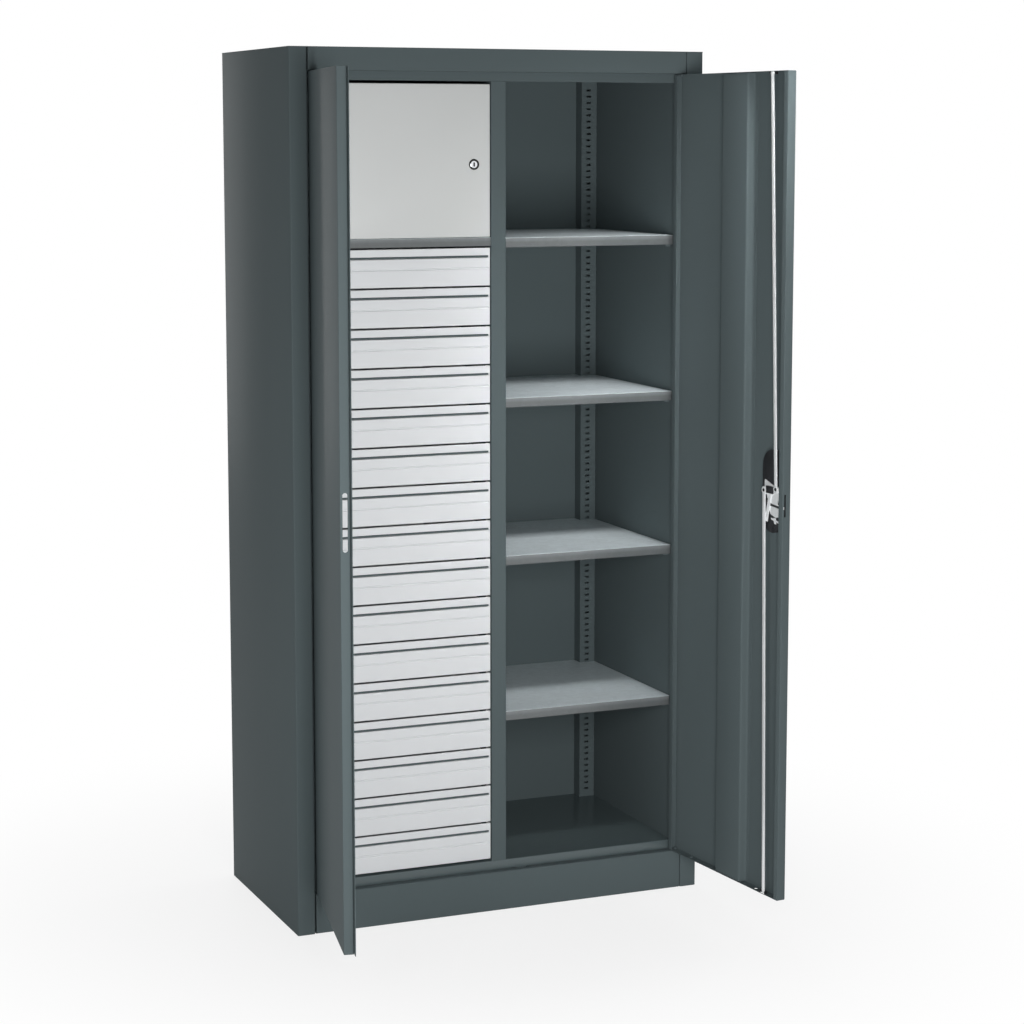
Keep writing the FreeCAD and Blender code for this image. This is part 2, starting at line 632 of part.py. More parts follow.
def right_door():
    edge = right_width
    s0, s1 = tub_span
    z0, z1 = TUB_HEIGHTS
    cutters = pivot_holes()
    cutters.append(stadium(s0 - CLEAR, s1 + CLEAR, z0 - CLEAR, z1 + CLEAR, -THIN, 2 * THIN))
    cutters.append(stadium_slot(edge - 2 * THIN, edge + THIN, RIGHT_SLOT_DEPTHS, RIGHT_SLOT))
    for guide, wide_side, low, high in ((upper_guide, 1, door_top - 2 * THIN, door_top + THIN),
                                        (lower_guide, -1, door_bottom - THIN, door_bottom + 2 * THIN)):
        left, right = guide_span(guide, wide_side)
        cutters.append(box(left, right, GUIDE_DEPTHS[0], GUIDE_DEPTHS[1], low, high))
    for s in DRAIN_HOLES:
        cutters.append(pin(s, DRAIN_DEPTH, door_bottom - THIN, DRAIN_RADIUS, 3 * THIN))
    pan = door_pan(right_width, DOOR_DEPTH_RIGHT).cut(Part.makeCompound(cutters))
    save("right_door_pan", [on_right_door(pan)])
    save("right_door_stiffener", [on_right_door(hat(HAT_HEIGHT - THIN))])
    save("right_door_pivots", [on_right_door(p) for p in door_pivots()])
    tub = joined([stadium(s0, s1, z0, z1, 0, TUB_DEPTH),
                  stadium(s0 - TUB_RIM, s1 + TUB_RIM, z0 - TUB_RIM, z1 + TUB_RIM, -THIN, 0)])
    well = stadium(s0 + TUB_SHEET, s1 - TUB_SHEET, z0 + TUB_SHEET, z1 - TUB_SHEET, -2 * THIN,
                   TUB_DEPTH - TUB_SHEET)
    bore = pin(lock_s, 0, LOCK_Z, SPINDLE + FIT, 2 * TUB_DEPTH, INWARD)
    save("handle_tub", [on_right_door(tub.cut(well).cut(bore))])
    plate = box(plate_span[0], plate_span[1], TUB_DEPTH, TUB_DEPTH + TUB_SHEET,
                PLATE_HEIGHTS[0], PLATE_HEIGHTS[1])
    save("lock_plate", [on_right_door(plate.cut(bore))])
    upper = guide_block(upper_guide, 1, door_top - THIN - GUIDE_HEIGHT, door_top - THIN)
    lower = guide_block(lower_guide, -1, door_bottom + THIN, door_bottom + THIN + GUIDE_HEIGHT)
    save("rod_guides", [on_right_door(upper), on_right_door(lower)])


def bar(angle, start, end, width, d0, d1, z=LOCK_Z, s=lock_s):
    """Flat bar from the lock's axis at an angle, counted from the free edge's direction."""
    shape = box(start, end, d0, d1, -width / 2, width / 2)
    shape.rotate(FreeCAD.Vector(0, 0, 0), INWARD, -angle)
    shape.translate(FreeCAD.Vector(s, 0, z))
    return shape


def cam_pin(side):
    """Centre of a cam pin, in door coordinates: 1 towards the free edge, -1 towards the hinge."""
    turn = math.radians(CAM_ANGLE)
    return lock_s + side * CAM_RADIUS * math.cos(turn), LOCK_Z + side * CAM_RADIUS * math.sin(turn)


def door_lock():
    d0 = cam_d
    d1 = cam_d + CAM_SHEET
    plate = [pin(lock_s, d0, LOCK_Z, CAM_HUB, CAM_SHEET, INWARD)]
    pins = []
    for side in (1, -1):
        s, z = cam_pin(side)
        plate.append(pin(s, d0, z, CAM_LOBE, CAM_SHEET, INWARD))
        pins.append(on_right_door(pin(s, d1, z, CAM_PIN, CAM_GAP + ROD_SHEET + PIN_CAP, INWARD)))
    plate.append(bar(CAM_ANGLE, -CAM_RADIUS, CAM_RADIUS, 2 * CAM_LOBE, d0, d1))
    plate.append(bar(ARM_ANGLE, 0, ARM_REACH, ARM_WIDTH, d0, d1))
    bore = pin(lock_s, 0, LOCK_Z, SPINDLE, 2 * TUB_DEPTH, INWARD)
    save("lock_cam", [on_right_door(joined(plate).cut(bore))])
    save("cam_pins", pins)
    shaft = pin(lock_s, WING_DEPTHS[1], LOCK_Z, SPINDLE, d1 - WING_DEPTHS[1], INWARD)
    nut = pin(lock_s, d1, LOCK_Z, NUT_RADIUS, NUT_HEIGHT, INWARD)
    save("lock_spindle", [on_right_door(joined([shaft, nut]))])
    half = WING_LENGTH / 2
    wing = stadium(lock_s - WING_WIDTH / 2, lock_s + WING_WIDTH / 2, LOCK_Z - half, LOCK_Z + half,
                   WING_DEPTHS[0], WING_DEPTHS[1])
    save("lock_grip", [on_right_door(wing)])
    key = pin(lock_s, KEY_DEPTHS[0], LOCK_Z, KEY_RADIUS, KEY_DEPTHS[1] - KEY_DEPTHS[0], INWARD)
    slot = box(lock_s - KEY_SLOT[0] / 2, lock_s + KEY_SLOT[0] / 2, 0, (KEY_DEPTHS[0] + KEY_DEPTHS[1]) / 2,
               LOCK_Z - KEY_SLOT[1] / 2, LOCK_Z + KEY_SLOT[1] / 2)
    save("key_cylinder", [on_right_door(key.cut(slot))])


def lock_rod(name, side, guide, tip_z):
    """Flat rod from a cam pin to just inside the door's edge."""
    s, z = cam_pin(side)
    reach = math.hypot(guide - s, tip_z - z)
    lean = math.degrees(math.atan2(tip_z - z, guide - s))
    d0 = rod_d
    d1 = rod_d + ROD_SHEET
    strip = bar(lean, 0, reach, ROD_WIDTH, d0, d1, z, s)
    eye = pin(s, d0, z, ROD_EYE, ROD_SHEET, INWARD)
    hole = pin(s, d0 - THIN, z, CAM_PIN + FIT, ROD_SHEET + 2 * THIN, INWARD)
    save(name, [on_right_door(joined([strip, eye]).cut(hole))])


def locker_door():
    x0 = locker_left
    x1 = locker_right
    y0 = stop_y
    y1 = stop_y + LOCKER_DEPTH
    z0 = locker_bottom
    z1 = locker_top
    shell = box(x0, x1, y0, y1, z0, z1)
    hollow = box(x0 + THIN, x1 - THIN, y0 + THIN, y1 - THIN, z0 + THIN, z1 - THIN)
    mouth = box(x0 + PAN_LIP, x1 - PAN_LIP, y1 - 2 * THIN, y1 + THIN, z0 + PAN_LIP, z1 - PAN_LIP)
    hole = pin(locker_lock_x, y0 - THIN, locker_lock_z, BARREL_RADIUS + FIT, 3 * THIN, INWARD)
    cutters = [hole]
    for z in (z0 - THIN, z1 - 2 * THIN):
        cutters.append(pin(locker_pivot_x, locker_pivot_y, z, PIN_RADIUS + FIT, 3 * THIN))
    save("locker_door_pan", [shell.cut(hollow).cut(mouth).cut(Part.makeCompound(cutters))])
    head = PIN_HEAD_RADIUS
    top = joined([pin(locker_pivot_x, locker_pivot_y, z1 - THIN - PIN_HEAD, head, PIN_HEAD),
                  pin(locker_pivot_x, locker_pivot_y, z1 - THIN, PIN_RADIUS, LOCKER_PIN_REACH + THIN)])
    bottom = joined([pin(locker_pivot_x, locker_pivot_y, z0 + THIN, head, PIN_HEAD),
                     pin(locker_pivot_x, locker_pivot_y, z0 - LOCKER_PIN_DROP, PIN_RADIUS,
                         LOCKER_PIN_DROP + THIN)])
    save("locker_door_pivots", [top, bottom])


def locker_lock():
    y0 = stop_y
    ring = pin(locker_lock_x, y0 - BARREL_RING_DEPTH - CAM_GAP, locker_lock_z, BARREL_RING,
               BARREL_RING_DEPTH, INWARD)
    core = pin(locker_lock_x, y0 - CAM_GAP, locker_lock_z, BARREL_RADIUS, BARREL_LENGTH + CAM_GAP, INWARD)
    half_x = KEY_SLOT[0] / 2
    half_z = KEY_SLOT[1] / 2
    slot = box(locker_lock_x - half_x, locker_lock_x + half_x, y0 - 2 * BARREL_RING_DEPTH, y0,
               locker_lock_z - half_z, locker_lock_z + half_z)
    save("locker_lock_barrel", [joined([ring, core]).cut(slot)])
    cam_y = y0 + BARREL_LENGTH
    blade = box(-BARREL_RADIUS, LOCKER_CAM_REACH, cam_y, cam_y + LOCKER_CAM_SHEET, -LOCKER_CAM_WIDTH / 2,
                LOCKER_CAM_WIDTH / 2)
    blade.rotate(FreeCAD.Vector(0, 0, 0), INWARD, 90)
    blade.translate(FreeCAD.Vector(locker_lock_x, 0, locker_lock_z))
    save("locker_lock_cam", [blade])


def feet_and_rivets():
    feet = []
    for x in (-half_w + FOOT_INSET[0], half_w - FOOT_INSET[0]):
        for y in (front + FOOT_INSET[1], rear - FOOT_INSET[1]):
            feet.append(joined([pin(x, y, 0, FOOT_RADIUS, FOOT_HEIGHT),
                                pin(x, y, FOOT_HEIGHT, STUD_RADIUS, FLOOR_TOP - SHEET - FOOT_HEIGHT)]))
    save("levelling_feet", feet)
    rivets = []
    step = (HEIGHT - 2 * RIVET_MARGIN) / (RIVET_ROWS - 1)
    for x in (-lining_left + UPRIGHT, upright_left + UPRIGHT / 2, upright_right + UPRIGHT / 2):
        for row in range(RIVET_ROWS):
            rivets.append(pin(x, back_y + SHEET, RIVET_MARGIN + row * step, RIVET_RADIUS, RIVET_HEAD, INWARD))
    save("back_rivets", rivets)


side_panels()
header_rail()
plinth()
floor_and_roof()
partition()
linings()
rear_uprights()
shelves()
shelf_clips()
locker_floor()
drawer_runners()
for index in range(DRAWER_COUNT):
    drawer(index)
left_door()
right_door()
door_lock()
lock_rod("upper_rod", 1, upper_guide, door_top - ROD_END)
lock_rod("lower_rod", -1, lower_guide, door_bottom + ROD_END)
locker_door()
locker_lock()
feet_and_rivets()
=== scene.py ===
# %% [markdown]
# # A swing door cabinet, dressed piece by piece
# The cabinet arrives as a finished frame of steel parts in real metres. The scene gives each folded
# sheet its rounded bends, its paint or its zinc, then adds the lamps and the camera.

# %% Load the frame
import bpy, bmesh, json, math
from mathutils import Matrix, Vector

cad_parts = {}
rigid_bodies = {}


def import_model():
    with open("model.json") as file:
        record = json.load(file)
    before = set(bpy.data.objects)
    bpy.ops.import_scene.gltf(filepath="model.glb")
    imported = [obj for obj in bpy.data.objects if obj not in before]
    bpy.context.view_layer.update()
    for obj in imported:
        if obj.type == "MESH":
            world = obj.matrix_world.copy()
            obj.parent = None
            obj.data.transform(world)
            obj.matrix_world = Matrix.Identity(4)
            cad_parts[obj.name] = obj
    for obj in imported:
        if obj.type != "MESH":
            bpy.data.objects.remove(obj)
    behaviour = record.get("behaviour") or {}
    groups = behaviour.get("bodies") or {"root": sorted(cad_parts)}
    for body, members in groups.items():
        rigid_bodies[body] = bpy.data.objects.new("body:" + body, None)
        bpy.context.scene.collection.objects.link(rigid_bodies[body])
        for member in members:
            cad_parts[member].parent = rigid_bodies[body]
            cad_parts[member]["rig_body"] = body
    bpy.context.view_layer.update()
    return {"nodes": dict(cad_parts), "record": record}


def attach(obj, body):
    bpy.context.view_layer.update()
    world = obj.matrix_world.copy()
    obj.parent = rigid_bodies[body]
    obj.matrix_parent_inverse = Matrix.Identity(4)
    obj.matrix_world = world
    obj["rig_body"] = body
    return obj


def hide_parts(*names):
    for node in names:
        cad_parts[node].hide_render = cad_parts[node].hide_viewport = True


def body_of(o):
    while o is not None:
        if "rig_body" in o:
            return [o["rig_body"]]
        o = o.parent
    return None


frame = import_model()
nodes = frame["nodes"]

# %% [markdown]
# ## The camera
# The photograph was taken from the left and a little above, far enough away that the upright edges stay
# almost parallel. Here the eye point and the angles come from the cabinet's own straight edges, and a
# small shift lifts the object in the frame, because the picture was cropped that way.

# %% Camera
PICTURE = 1024.0        # the picture's width in pixels
FOCAL = 2479.0          # focal length in pixels
SHIFT = -62.0           # how far the object was moved in the picture, in pixels
FILM = 36.0             # the camera's own sensor width in millimetres
EYE = (-2.1265, -5.3323, 1.7593)
PITCH, YAW = 0.1258, 0.3999     # radians down, and to the right
cam_data = bpy.data.cameras.new("camera")
cam = bpy.data.objects.new("camera", cam_data)
bpy.context.scene.collection.objects.link(cam)
cam_data.sensor_width = FILM
cam_data.lens = FOCAL * FILM / PICTURE
cam_data.shift_y = SHIFT / PICTURE
cam_data.clip_end = 100.0
cam.location = EYE
cam.rotation_euler = (math.pi / 2 - PITCH, 0.0, -YAW)
bpy.context.scene.camera = cam
print("camera lens", round(cam_data.lens, 2), "mm")

# %% [markdown]
# ## Small effects that several finishes share
# Powder paint has a fine orange-peel skin, and its colour drifts a little over a large panel. Galvanised
# sheet shows zinc crystals and faint rolling lines, and the zinc group also paints faces that look up in
# a paler colour, as painted top light. Each effect is one node group with its own inputs, so that every
# finish can set its strength. Object coordinates are in metres, so the scales are real ones.

# %% Node helpers
def new_group(name, inputs, outputs):
    group = bpy.data.node_groups.new(name, "ShaderNodeTree")
    for label, kind, value in inputs:
        socket = group.interface.new_socket(name=label, in_out="INPUT", socket_type=kind)
        socket.default_value = value
    for label, kind in outputs:
        group.interface.new_socket(name=label, in_out="OUTPUT", socket_type=kind)
    return group, group.nodes.new("NodeGroupInput"), group.nodes.new("NodeGroupOutput")


def node(tree, kind, **values):
    made = tree.nodes.new(kind)
    for key, value in values.items():
        setattr(made, key, value)
    return made


def wire(tree, source, target):
    tree.links.new(source, target)


def maths(tree, operation, a, b):
    made = node(tree, "ShaderNodeMath", operation=operation)
    for index, value in enumerate((a, b)):
        if isinstance(value, (int, float)):
            made.inputs[index].default_value = value
        else:
            wire(tree, value, made.inputs[index])
    return made.outputs[0]


def noise(tree, coords, scale, detail):
    made = node(tree, "ShaderNodeTexNoise")
    made.inputs["Scale"].default_value = scale
    made.inputs["Detail"].default_value = detail
    wire(tree, coords, made.inputs["Vector"])
    return made.outputs["Fac"]


def stretched(tree, coords, scale):
    made = node(tree, "ShaderNodeMapping")
    made.inputs["Scale"].default_value = scale
    wire(tree, coords, made.inputs["Vector"])
    return made.outputs["Vector"]


# %% Powder paint skin
F = "NodeSocketFloat"
C = "NodeSocketColor"
paint_skin, gin, gout = new_group(
    "paint_skin",
    [("Color", C, (0.1, 0.1, 0.1, 1)), ("Drift", F, 0.06), ("Roughness", F, 0.45), ("Speckle", F, 0.04)],
    [("Color", C), ("Roughness", F), ("Height", F)])
coords = node(paint_skin, "ShaderNodeTexCoord").outputs["Object"]
broad = noise(paint_skin, coords, scale=2.3, detail=2.0)
peel = noise(paint_skin, coords, scale=520.0, detail=2.0)
dust = noise(paint_skin, coords, scale=1900.0, detail=1.0)
swing = maths(paint_skin, "MULTIPLY", maths(paint_skin, "SUBTRACT", broad, 0.5), gin.outputs["Drift"])
fleck = maths(paint_skin, "MULTIPLY", maths(paint_skin, "SUBTRACT", dust, 0.5), gin.outputs["Speckle"])
level = maths(paint_skin, "ADD", maths(paint_skin, "ADD", swing, fleck), 1.0)
tint = node(paint_skin, "ShaderNodeVectorMath", operation="SCALE")
wire(paint_skin, gin.outputs["Color"], tint.inputs[0])
wire(paint_skin, level, tint.inputs["Scale"])
wire(paint_skin, tint.outputs[0], gout.inputs["Color"])
gloss = maths(paint_skin, "MULTIPLY", maths(paint_skin, "SUBTRACT", peel, 0.5), 0.12)
wire(paint_skin, maths(paint_skin, "ADD", gloss, gin.outputs["Roughness"]), gout.inputs["Roughness"])
grit = maths(paint_skin, "MULTIPLY", dust, 0.3)
wire(paint_skin, maths(paint_skin, "ADD", peel, grit), gout.inputs["Height"])
print("paint skin group:", len(paint_skin.nodes), "nodes")

# %% Zinc crystals and painted top light
zinc_bloom_and_top_light, gin, gout = new_group(
    "zinc_bloom_and_top_light",
    [("Color", C, (0.5, 0.5, 0.5, 1)), ("Contrast", F, 0.25), ("Roughness", F, 0.35), ("Crystal", F, 60.0),
     ("Painted Top Light Color", C, (0.5, 0.5, 0.5, 1)), ("Painted Top Light", F, 0.0)],
    [("Color", C), ("Roughness", F), ("Height", F)])
coords = node(zinc_bloom_and_top_light, "ShaderNodeTexCoord").outputs["Object"]
cells = node(zinc_bloom_and_top_light, "ShaderNodeTexVoronoi")
wire(zinc_bloom_and_top_light, coords, cells.inputs["Vector"])
wire(zinc_bloom_and_top_light, gin.outputs["Crystal"], cells.inputs["Scale"])
flake = node(zinc_bloom_and_top_light, "ShaderNodeSeparateColor")
wire(zinc_bloom_and_top_light, cells.outputs["Color"], flake.inputs[0])
cloud = noise(zinc_bloom_and_top_light, coords, scale=14.0, detail=4.0)
rolled = noise(zinc_bloom_and_top_light, stretched(zinc_bloom_and_top_light, coords, (4.0, 260.0, 260.0)), scale=1.0, detail=3.0)
mix = maths(zinc_bloom_and_top_light, "ADD", maths(zinc_bloom_and_top_light, "MULTIPLY", flake.outputs[0], 0.4),
            maths(zinc_bloom_and_top_light, "ADD", maths(zinc_bloom_and_top_light, "MULTIPLY", cloud, 0.7),
                  maths(zinc_bloom_and_top_light, "MULTIPLY", rolled, 0.5)))
swing = maths(zinc_bloom_and_top_light, "MULTIPLY", maths(zinc_bloom_and_top_light, "SUBTRACT", mix, 0.8), gin.outputs["Contrast"])
# Painted top light: faces that look up are mixed towards a paler colour, a painted highlight for the light on
# top.
facing = node(zinc_bloom_and_top_light, "ShaderNodeSeparateXYZ")
wire(zinc_bloom_and_top_light, node(zinc_bloom_and_top_light, "ShaderNodeTexCoord").outputs["Normal"], facing.inputs[0])
up = maths(zinc_bloom_and_top_light, "MAXIMUM", facing.outputs["Z"], 0.0)
painted_top_light_share = maths(zinc_bloom_and_top_light, "MULTIPLY", up, gin.outputs["Painted Top Light"])
sheet = node(zinc_bloom_and_top_light, "ShaderNodeMix", data_type="RGBA")
wire(zinc_bloom_and_top_light, painted_top_light_share, sheet.inputs[0])
wire(zinc_bloom_and_top_light, gin.outputs["Color"], sheet.inputs[6])
wire(zinc_bloom_and_top_light, gin.outputs["Painted Top Light Color"], sheet.inputs[7])
tint = node(zinc_bloom_and_top_light, "ShaderNodeVectorMath", operation="SCALE")
wire(zinc_bloom_and_top_light, sheet.outputs[2], tint.inputs[0])
wire(zinc_bloom_and_top_light, maths(zinc_bloom_and_top_light, "ADD", swing, 1.0), tint.inputs["Scale"])
wire(zinc_bloom_and_top_light, tint.outputs[0], gout.inputs["Color"])
dull = maths(zinc_bloom_and_top_light, "MULTIPLY", swing, 0.5)
wire(zinc_bloom_and_top_light, maths(zinc_bloom_and_top_light, "ADD", dull, gin.outputs["Roughness"]), gout.inputs["Roughness"])
wire(zinc_bloom_and_top_light, mix, gout.inputs["Height"])
print("zinc bloom group:", len(zinc_bloom_and_top_light.nodes), "nodes")

# %% [markdown]
# ## The finishes
# The body is powder coated in a dark greenish slate. The locker door is a cool light grey, the drawer
# fronts a warmer white, the shelves bare galvanised sheet whose upper faces get a paler painted top light.
# The lock is bright zinc plate with black plastic. Each finish is one Principled shader fed by a group above.

# %% Finishes
def rgb(r, g, b):
    """A colour written as on screen, 0 to 255, turned into linear light."""
    return tuple(((c / 255 + 0.055) / 1.055) ** 2.4 for c in (r, g, b)) + (1,)


def finish(name, group, values, bump, relief_depth, metallic=0.0, specular=0.5, ior=1.5):
    mat = bpy.data.materials.new(name)
    mat.use_nodes = True
    tree = mat.node_tree
    shader = tree.nodes["Principled BSDF"]
    effect = node(tree, "ShaderNodeGroup", node_tree=group)
    for label, value in values.items():
        effect.inputs[label].default_value = value
    wire(tree, effect.outputs["Color"], shader.inputs["Base Color"])
    wire(tree, effect.outputs["Roughness"], shader.inputs["Roughness"])
    relief = node(tree, "ShaderNodeBump")
    relief.inputs["Strength"].default_value = bump
    relief.inputs["Distance"].default_value = relief_depth
    wire(tree, effect.outputs["Height"], relief.inputs["Height"])
    wire(tree, relief.outputs["Normal"], shader.inputs["Normal"])
    shader.inputs["Metallic"].default_value = metallic
    shader.inputs["Specular IOR Level"].default_value = specular
    shader.inputs["IOR"].default_value = ior
    mat.diffuse_color = values["Color"]
    return mat


slate = finish("slate_paint", paint_skin,
               {"Color": rgb(87, 97, 99), "Drift": 0.05, "Roughness": 0.5, "Speckle": 0.05},
               bump=0.12, relief_depth=0.00004, specular=0.3, ior=1.12)
slate_floor = finish("slate_floor_paint", paint_skin,
                     {"Color": rgb(86, 97, 99), "Drift": 0.05, "Roughness": 0.16, "Speckle": 0.04},
                     bump=0.08, relief_depth=0.00003, specular=0.4)
white = finish("drawer_white", paint_skin,
               {"Color": rgb(222, 224, 226), "Drift": 0.03, "Roughness": 0.38, "Speckle": 0.03},
               bump=0.10, relief_depth=0.00003)
light_grey = finish("locker_grey", paint_skin,
                    {"Color": rgb(208, 210, 209), "Drift": 0.04, "Roughness": 0.4, "Speckle": 0.04},
                    bump=0.10, relief_depth=0.00003)
# The base colour is for the fronts; the paler top colour is painted top light on the faces that look up.
galvanised = finish("galvanised_sheet", zinc_bloom_and_top_light,
                    {"Color": rgb(102, 106, 107), "Contrast": 0.16, "Roughness": 0.24, "Crystal": 90.0,
                     "Painted Top Light Color": rgb(236, 246, 250), "Painted Top Light": 1.0},
                    bump=0.10, relief_depth=0.00005, metallic=0.15)
zinc = finish("zinc_plate", zinc_bloom_and_top_light,
              {"Color": rgb(240, 242, 243), "Contrast": 0.1, "Roughness": 0.3, "Crystal": 160.0},
              bump=0.10, relief_depth=0.00003, metallic=0.3)
chrome = finish("chrome", zinc_bloom_and_top_light,
                {"Color": rgb(226, 228, 232), "Contrast": 0.05, "Roughness": 0.12, "Crystal": 200.0},
                bump=0.03, relief_depth=0.00002, metallic=1.0)
black = finish("black_plastic", paint_skin,
               {"Color": rgb(26, 27, 30), "Drift": 0.08, "Roughness": 0.5, "Speckle": 0.1},
               bump=0.25, relief_depth=0.00006)
# Near-black finish for the lock's collar, and for the painted shade at the bottom of the keyway.
dark_collar_and_painted_shade = finish("black_collar_and_keyway_shade", paint_skin,
                     {"Color": rgb(16, 17, 19), "Drift": 0.04, "Roughness": 0.42, "Speckle": 0.02},
                     bump=0.05, relief_depth=0.00002, specular=0.3)
print("finishes:", [m.name for m in bpy.data.materials])

# %% [markdown]
# ## Paint on the frame's own parts
# Parts whose shape is already right keep it and only change their finish: the record's slot says what
# each one is made of. Clips and hinge pins are painted with the body.

# %% Dress the frame
slot_finish = {"slate": slate, "white": white, "light_grey": light_grey, "galvanised": galvanised,
               "zinc": zinc, "black_plastic": black, "chrome": chrome}
PAINTED = ("shelf_clips", "left_door_pivots", "right_door_pivots")
slot_of = {part["node"]: part["material_slot"] for part in frame["record"]["subparts"]}


def dress(obj, mat):
    obj.data.materials.clear()
    obj.data.materials.append(mat)


for name, obj in nodes.items():
    dress(obj, slate if name in PAINTED else slot_finish[slot_of[name]])
print("dressed", len(nodes), "parts")

# %% [markdown]
# ## Bending sheet
# Nearly everything here is steel sheet bent on a press. A press leaves a bend of about two millimetres
# outside radius, and that bend is what catches the light. So a part starts as the line that its section
# follows: the corners are rounded, the line is drawn out along the third axis, and the sheet gets its
# thickness on the inner side. All numbers are millimetres until the last step, which scales to metres.

# %% Sheet helpers
MM = 0.001
SHEET, THIN = 1.2, 0.9      # sheet of the carcass, and of doors, shelves and drawers
CRISP = 35                  # degrees; flatter edges are shaded smooth
AXES = {"X": (1, 2, 0), "Y": (0, 2, 1), "Z": (0, 1, 2)}     # the section's two axes, then the long one


def settle(obj):
    """Turns modifiers into mesh and keeps only the crisp edges sharp."""
    bpy.context.view_layer.update()
    graph = bpy.context.evaluated_depsgraph_get()
    mesh = bpy.data.meshes.new_from_object(obj.evaluated_get(graph))
    obj.modifiers.clear()
    obj.data = mesh
    mesh.shade_smooth()
    mesh.set_sharp_from_angle(angle=math.radians(CRISP))
    return obj


def as_object(name, bm):
    mesh = bpy.data.meshes.new(name)
    bm.to_mesh(mesh)
    bm.free()
    obj = bpy.data.objects.new(name, mesh)
    bpy.context.scene.collection.objects.link(obj)
    return obj


def new_points(grown):
    """The points that an extrude has just made."""
    return [v for v in grown["geom"] if isinstance(v, bmesh.types.BMVert)]


def thicken(obj, thick, outward):
    wall = obj.modifiers.new("wall", "SOLIDIFY")
    wall.thickness = thick
    wall.offset = 1.0 if outward else -1.0
    wall.use_even_offset = True
    return settle(obj)


def bend(name, line, along, start, end, thick=SHEET, radius=2.0):
    """Sheet that follows a line of points, with round bends, its thickness on the line's left."""
    a, b, c = AXES[along]
    bm = bmesh.new()
    points = []
    for pair in line:
        place = [0.0, 0.0, 0.0]
        place[a], place[b], place[c] = pair[0], pair[1], start
        points.append(bm.verts.new(place))
    for pair in zip(points, points[1:]):
        bm.edges.new(pair)
    bmesh.ops.bevel(bm, geom=points[1:-1], offset=radius, segments=4, profile=0.5, affect="VERTICES",
                    material=-1)
    grown = bmesh.ops.extrude_edge_only(bm, edges=bm.edges[:])
    shift = [0.0, 0.0, 0.0]
    shift[c] = end - start
    bmesh.ops.translate(bm, vec=shift, verts=new_points(grown))
    bmesh.ops.recalc_face_normals(bm, faces=bm.faces[:])
    middle = Vector((0, 0, 0))
    middle[a], middle[b], middle[c] = ((line[0][0] + line[1][0]) / 2, (line[0][1] + line[1][1]) / 2,
                                       (start + end) / 2)
    left = Vector((0, 0, 0))
    left[a], left[b] = line[0][1] - line[1][1], line[1][0] - line[0][0]
    first = min(bm.faces, key=lambda f: (f.calc_center_median() - middle).length)
    if first.normal.dot(left) < 0:
        bmesh.ops.reverse_faces(bm, faces=bm.faces[:])
    return thicken(as_object(name, bm), thick, True)


def block(name, low, high, soften=0.0):
    """A solid bar between two corners, its edges eased."""
    bm = bmesh.new()
    bmesh.ops.create_cube(bm, size=1.0)
    bmesh.ops.scale(bm, vec=[h - l for l, h in zip(low, high)], verts=bm.verts)
    bmesh.ops.translate(bm, vec=[(l + h) / 2 for l, h in zip(low, high)], verts=bm.verts)
    if soften:
        bmesh.ops.bevel(bm, geom=bm.edges[:], offset=soften, segments=2, profile=0.5, affect="EDGES",
                        material=-1)
    return settle(as_object(name, bm))


ROUND = 40                  # sides of a round end
SWAPS = {"X": Matrix(((0, 0, 1), (1, 0, 0), (0, 1, 0))),
         "Y": Matrix(((1, 0, 0), (0, 0, 1), (0, 1, 0)))}


def slot_block(name, centre, radius, gap, depth, along):
    """A solid with round ends, long in Z: gap is the straight part, and its depth runs along X or Y."""
    bm = bmesh.new()
    bmesh.ops.create_circle(bm, cap_ends=True, segments=ROUND, radius=radius)
    bmesh.ops.rotate(bm, matrix=Matrix.Rotation(math.pi / ROUND, 3, "Z"), verts=bm.verts)
    for v in bm.verts:
        v.co.y += math.copysign(gap / 2, v.co.y)
    grown = bmesh.ops.extrude_face_region(bm, geom=bm.faces[:])
    bmesh.ops.translate(bm, vec=(0, 0, depth), verts=new_points(grown))
    bmesh.ops.transform(bm, matrix=SWAPS[along].to_4x4(), verts=bm.verts)
    bmesh.ops.translate(bm, vec=centre, verts=bm.verts)
    bmesh.ops.recalc_face_normals(bm, faces=bm.faces[:])
    return settle(as_object(name, bm))


def cut(obj, cutters):
    """Takes the cutters' shapes out of a piece, as a punch does."""
    for cutter in cutters:
        punch = obj.modifiers.new("punch", "BOOLEAN")
        punch.operation = "DIFFERENCE"
        punch.solver = "EXACT"
        punch.object = cutter
        settle(obj)
        bpy.data.objects.remove(cutter)
    return obj


def weld(name, parts):
    """Several made parts become one piece, as spot welds make them one."""
    bm = bmesh.new()
    for part in parts:
        bm.from_mesh(part.data)
        bpy.data.objects.remove(part)
    obj = as_object(name, bm)
    obj.data.shade_smooth()
    obj.data.set_sharp_from_angle(angle=math.radians(CRISP))
    return obj


def place(obj, body, mat, slot, replaced=(), matrix=None):
    """Scales a piece to metres, puts it on its body, and gives it its finish."""
    bm = bmesh.new()
    bm.from_mesh(obj.data)
    whole = Matrix.Diagonal((MM, MM, MM, 1)) @ (matrix or Matrix.Identity(4))
    bmesh.ops.transform(bm, matrix=whole, verts=bm.verts)
    if whole.determinant() < 0:
        bmesh.ops.reverse_faces(bm, faces=bm.faces[:])
    bm.to_mesh(obj.data)
    bm.free()
    obj.data.update()
    dress(obj, mat)
    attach(obj, body)
    if replaced:
        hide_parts(*replaced)
    return obj


print("helpers ready")

# %% [markdown]
# ## The cabinet's sizes
# A fitter measures the carcass first and works out the rest from it. The origin is the middle of the
# footprint on the floor: X runs to the right, Y into the cabinet, Z up, all in millimetres.

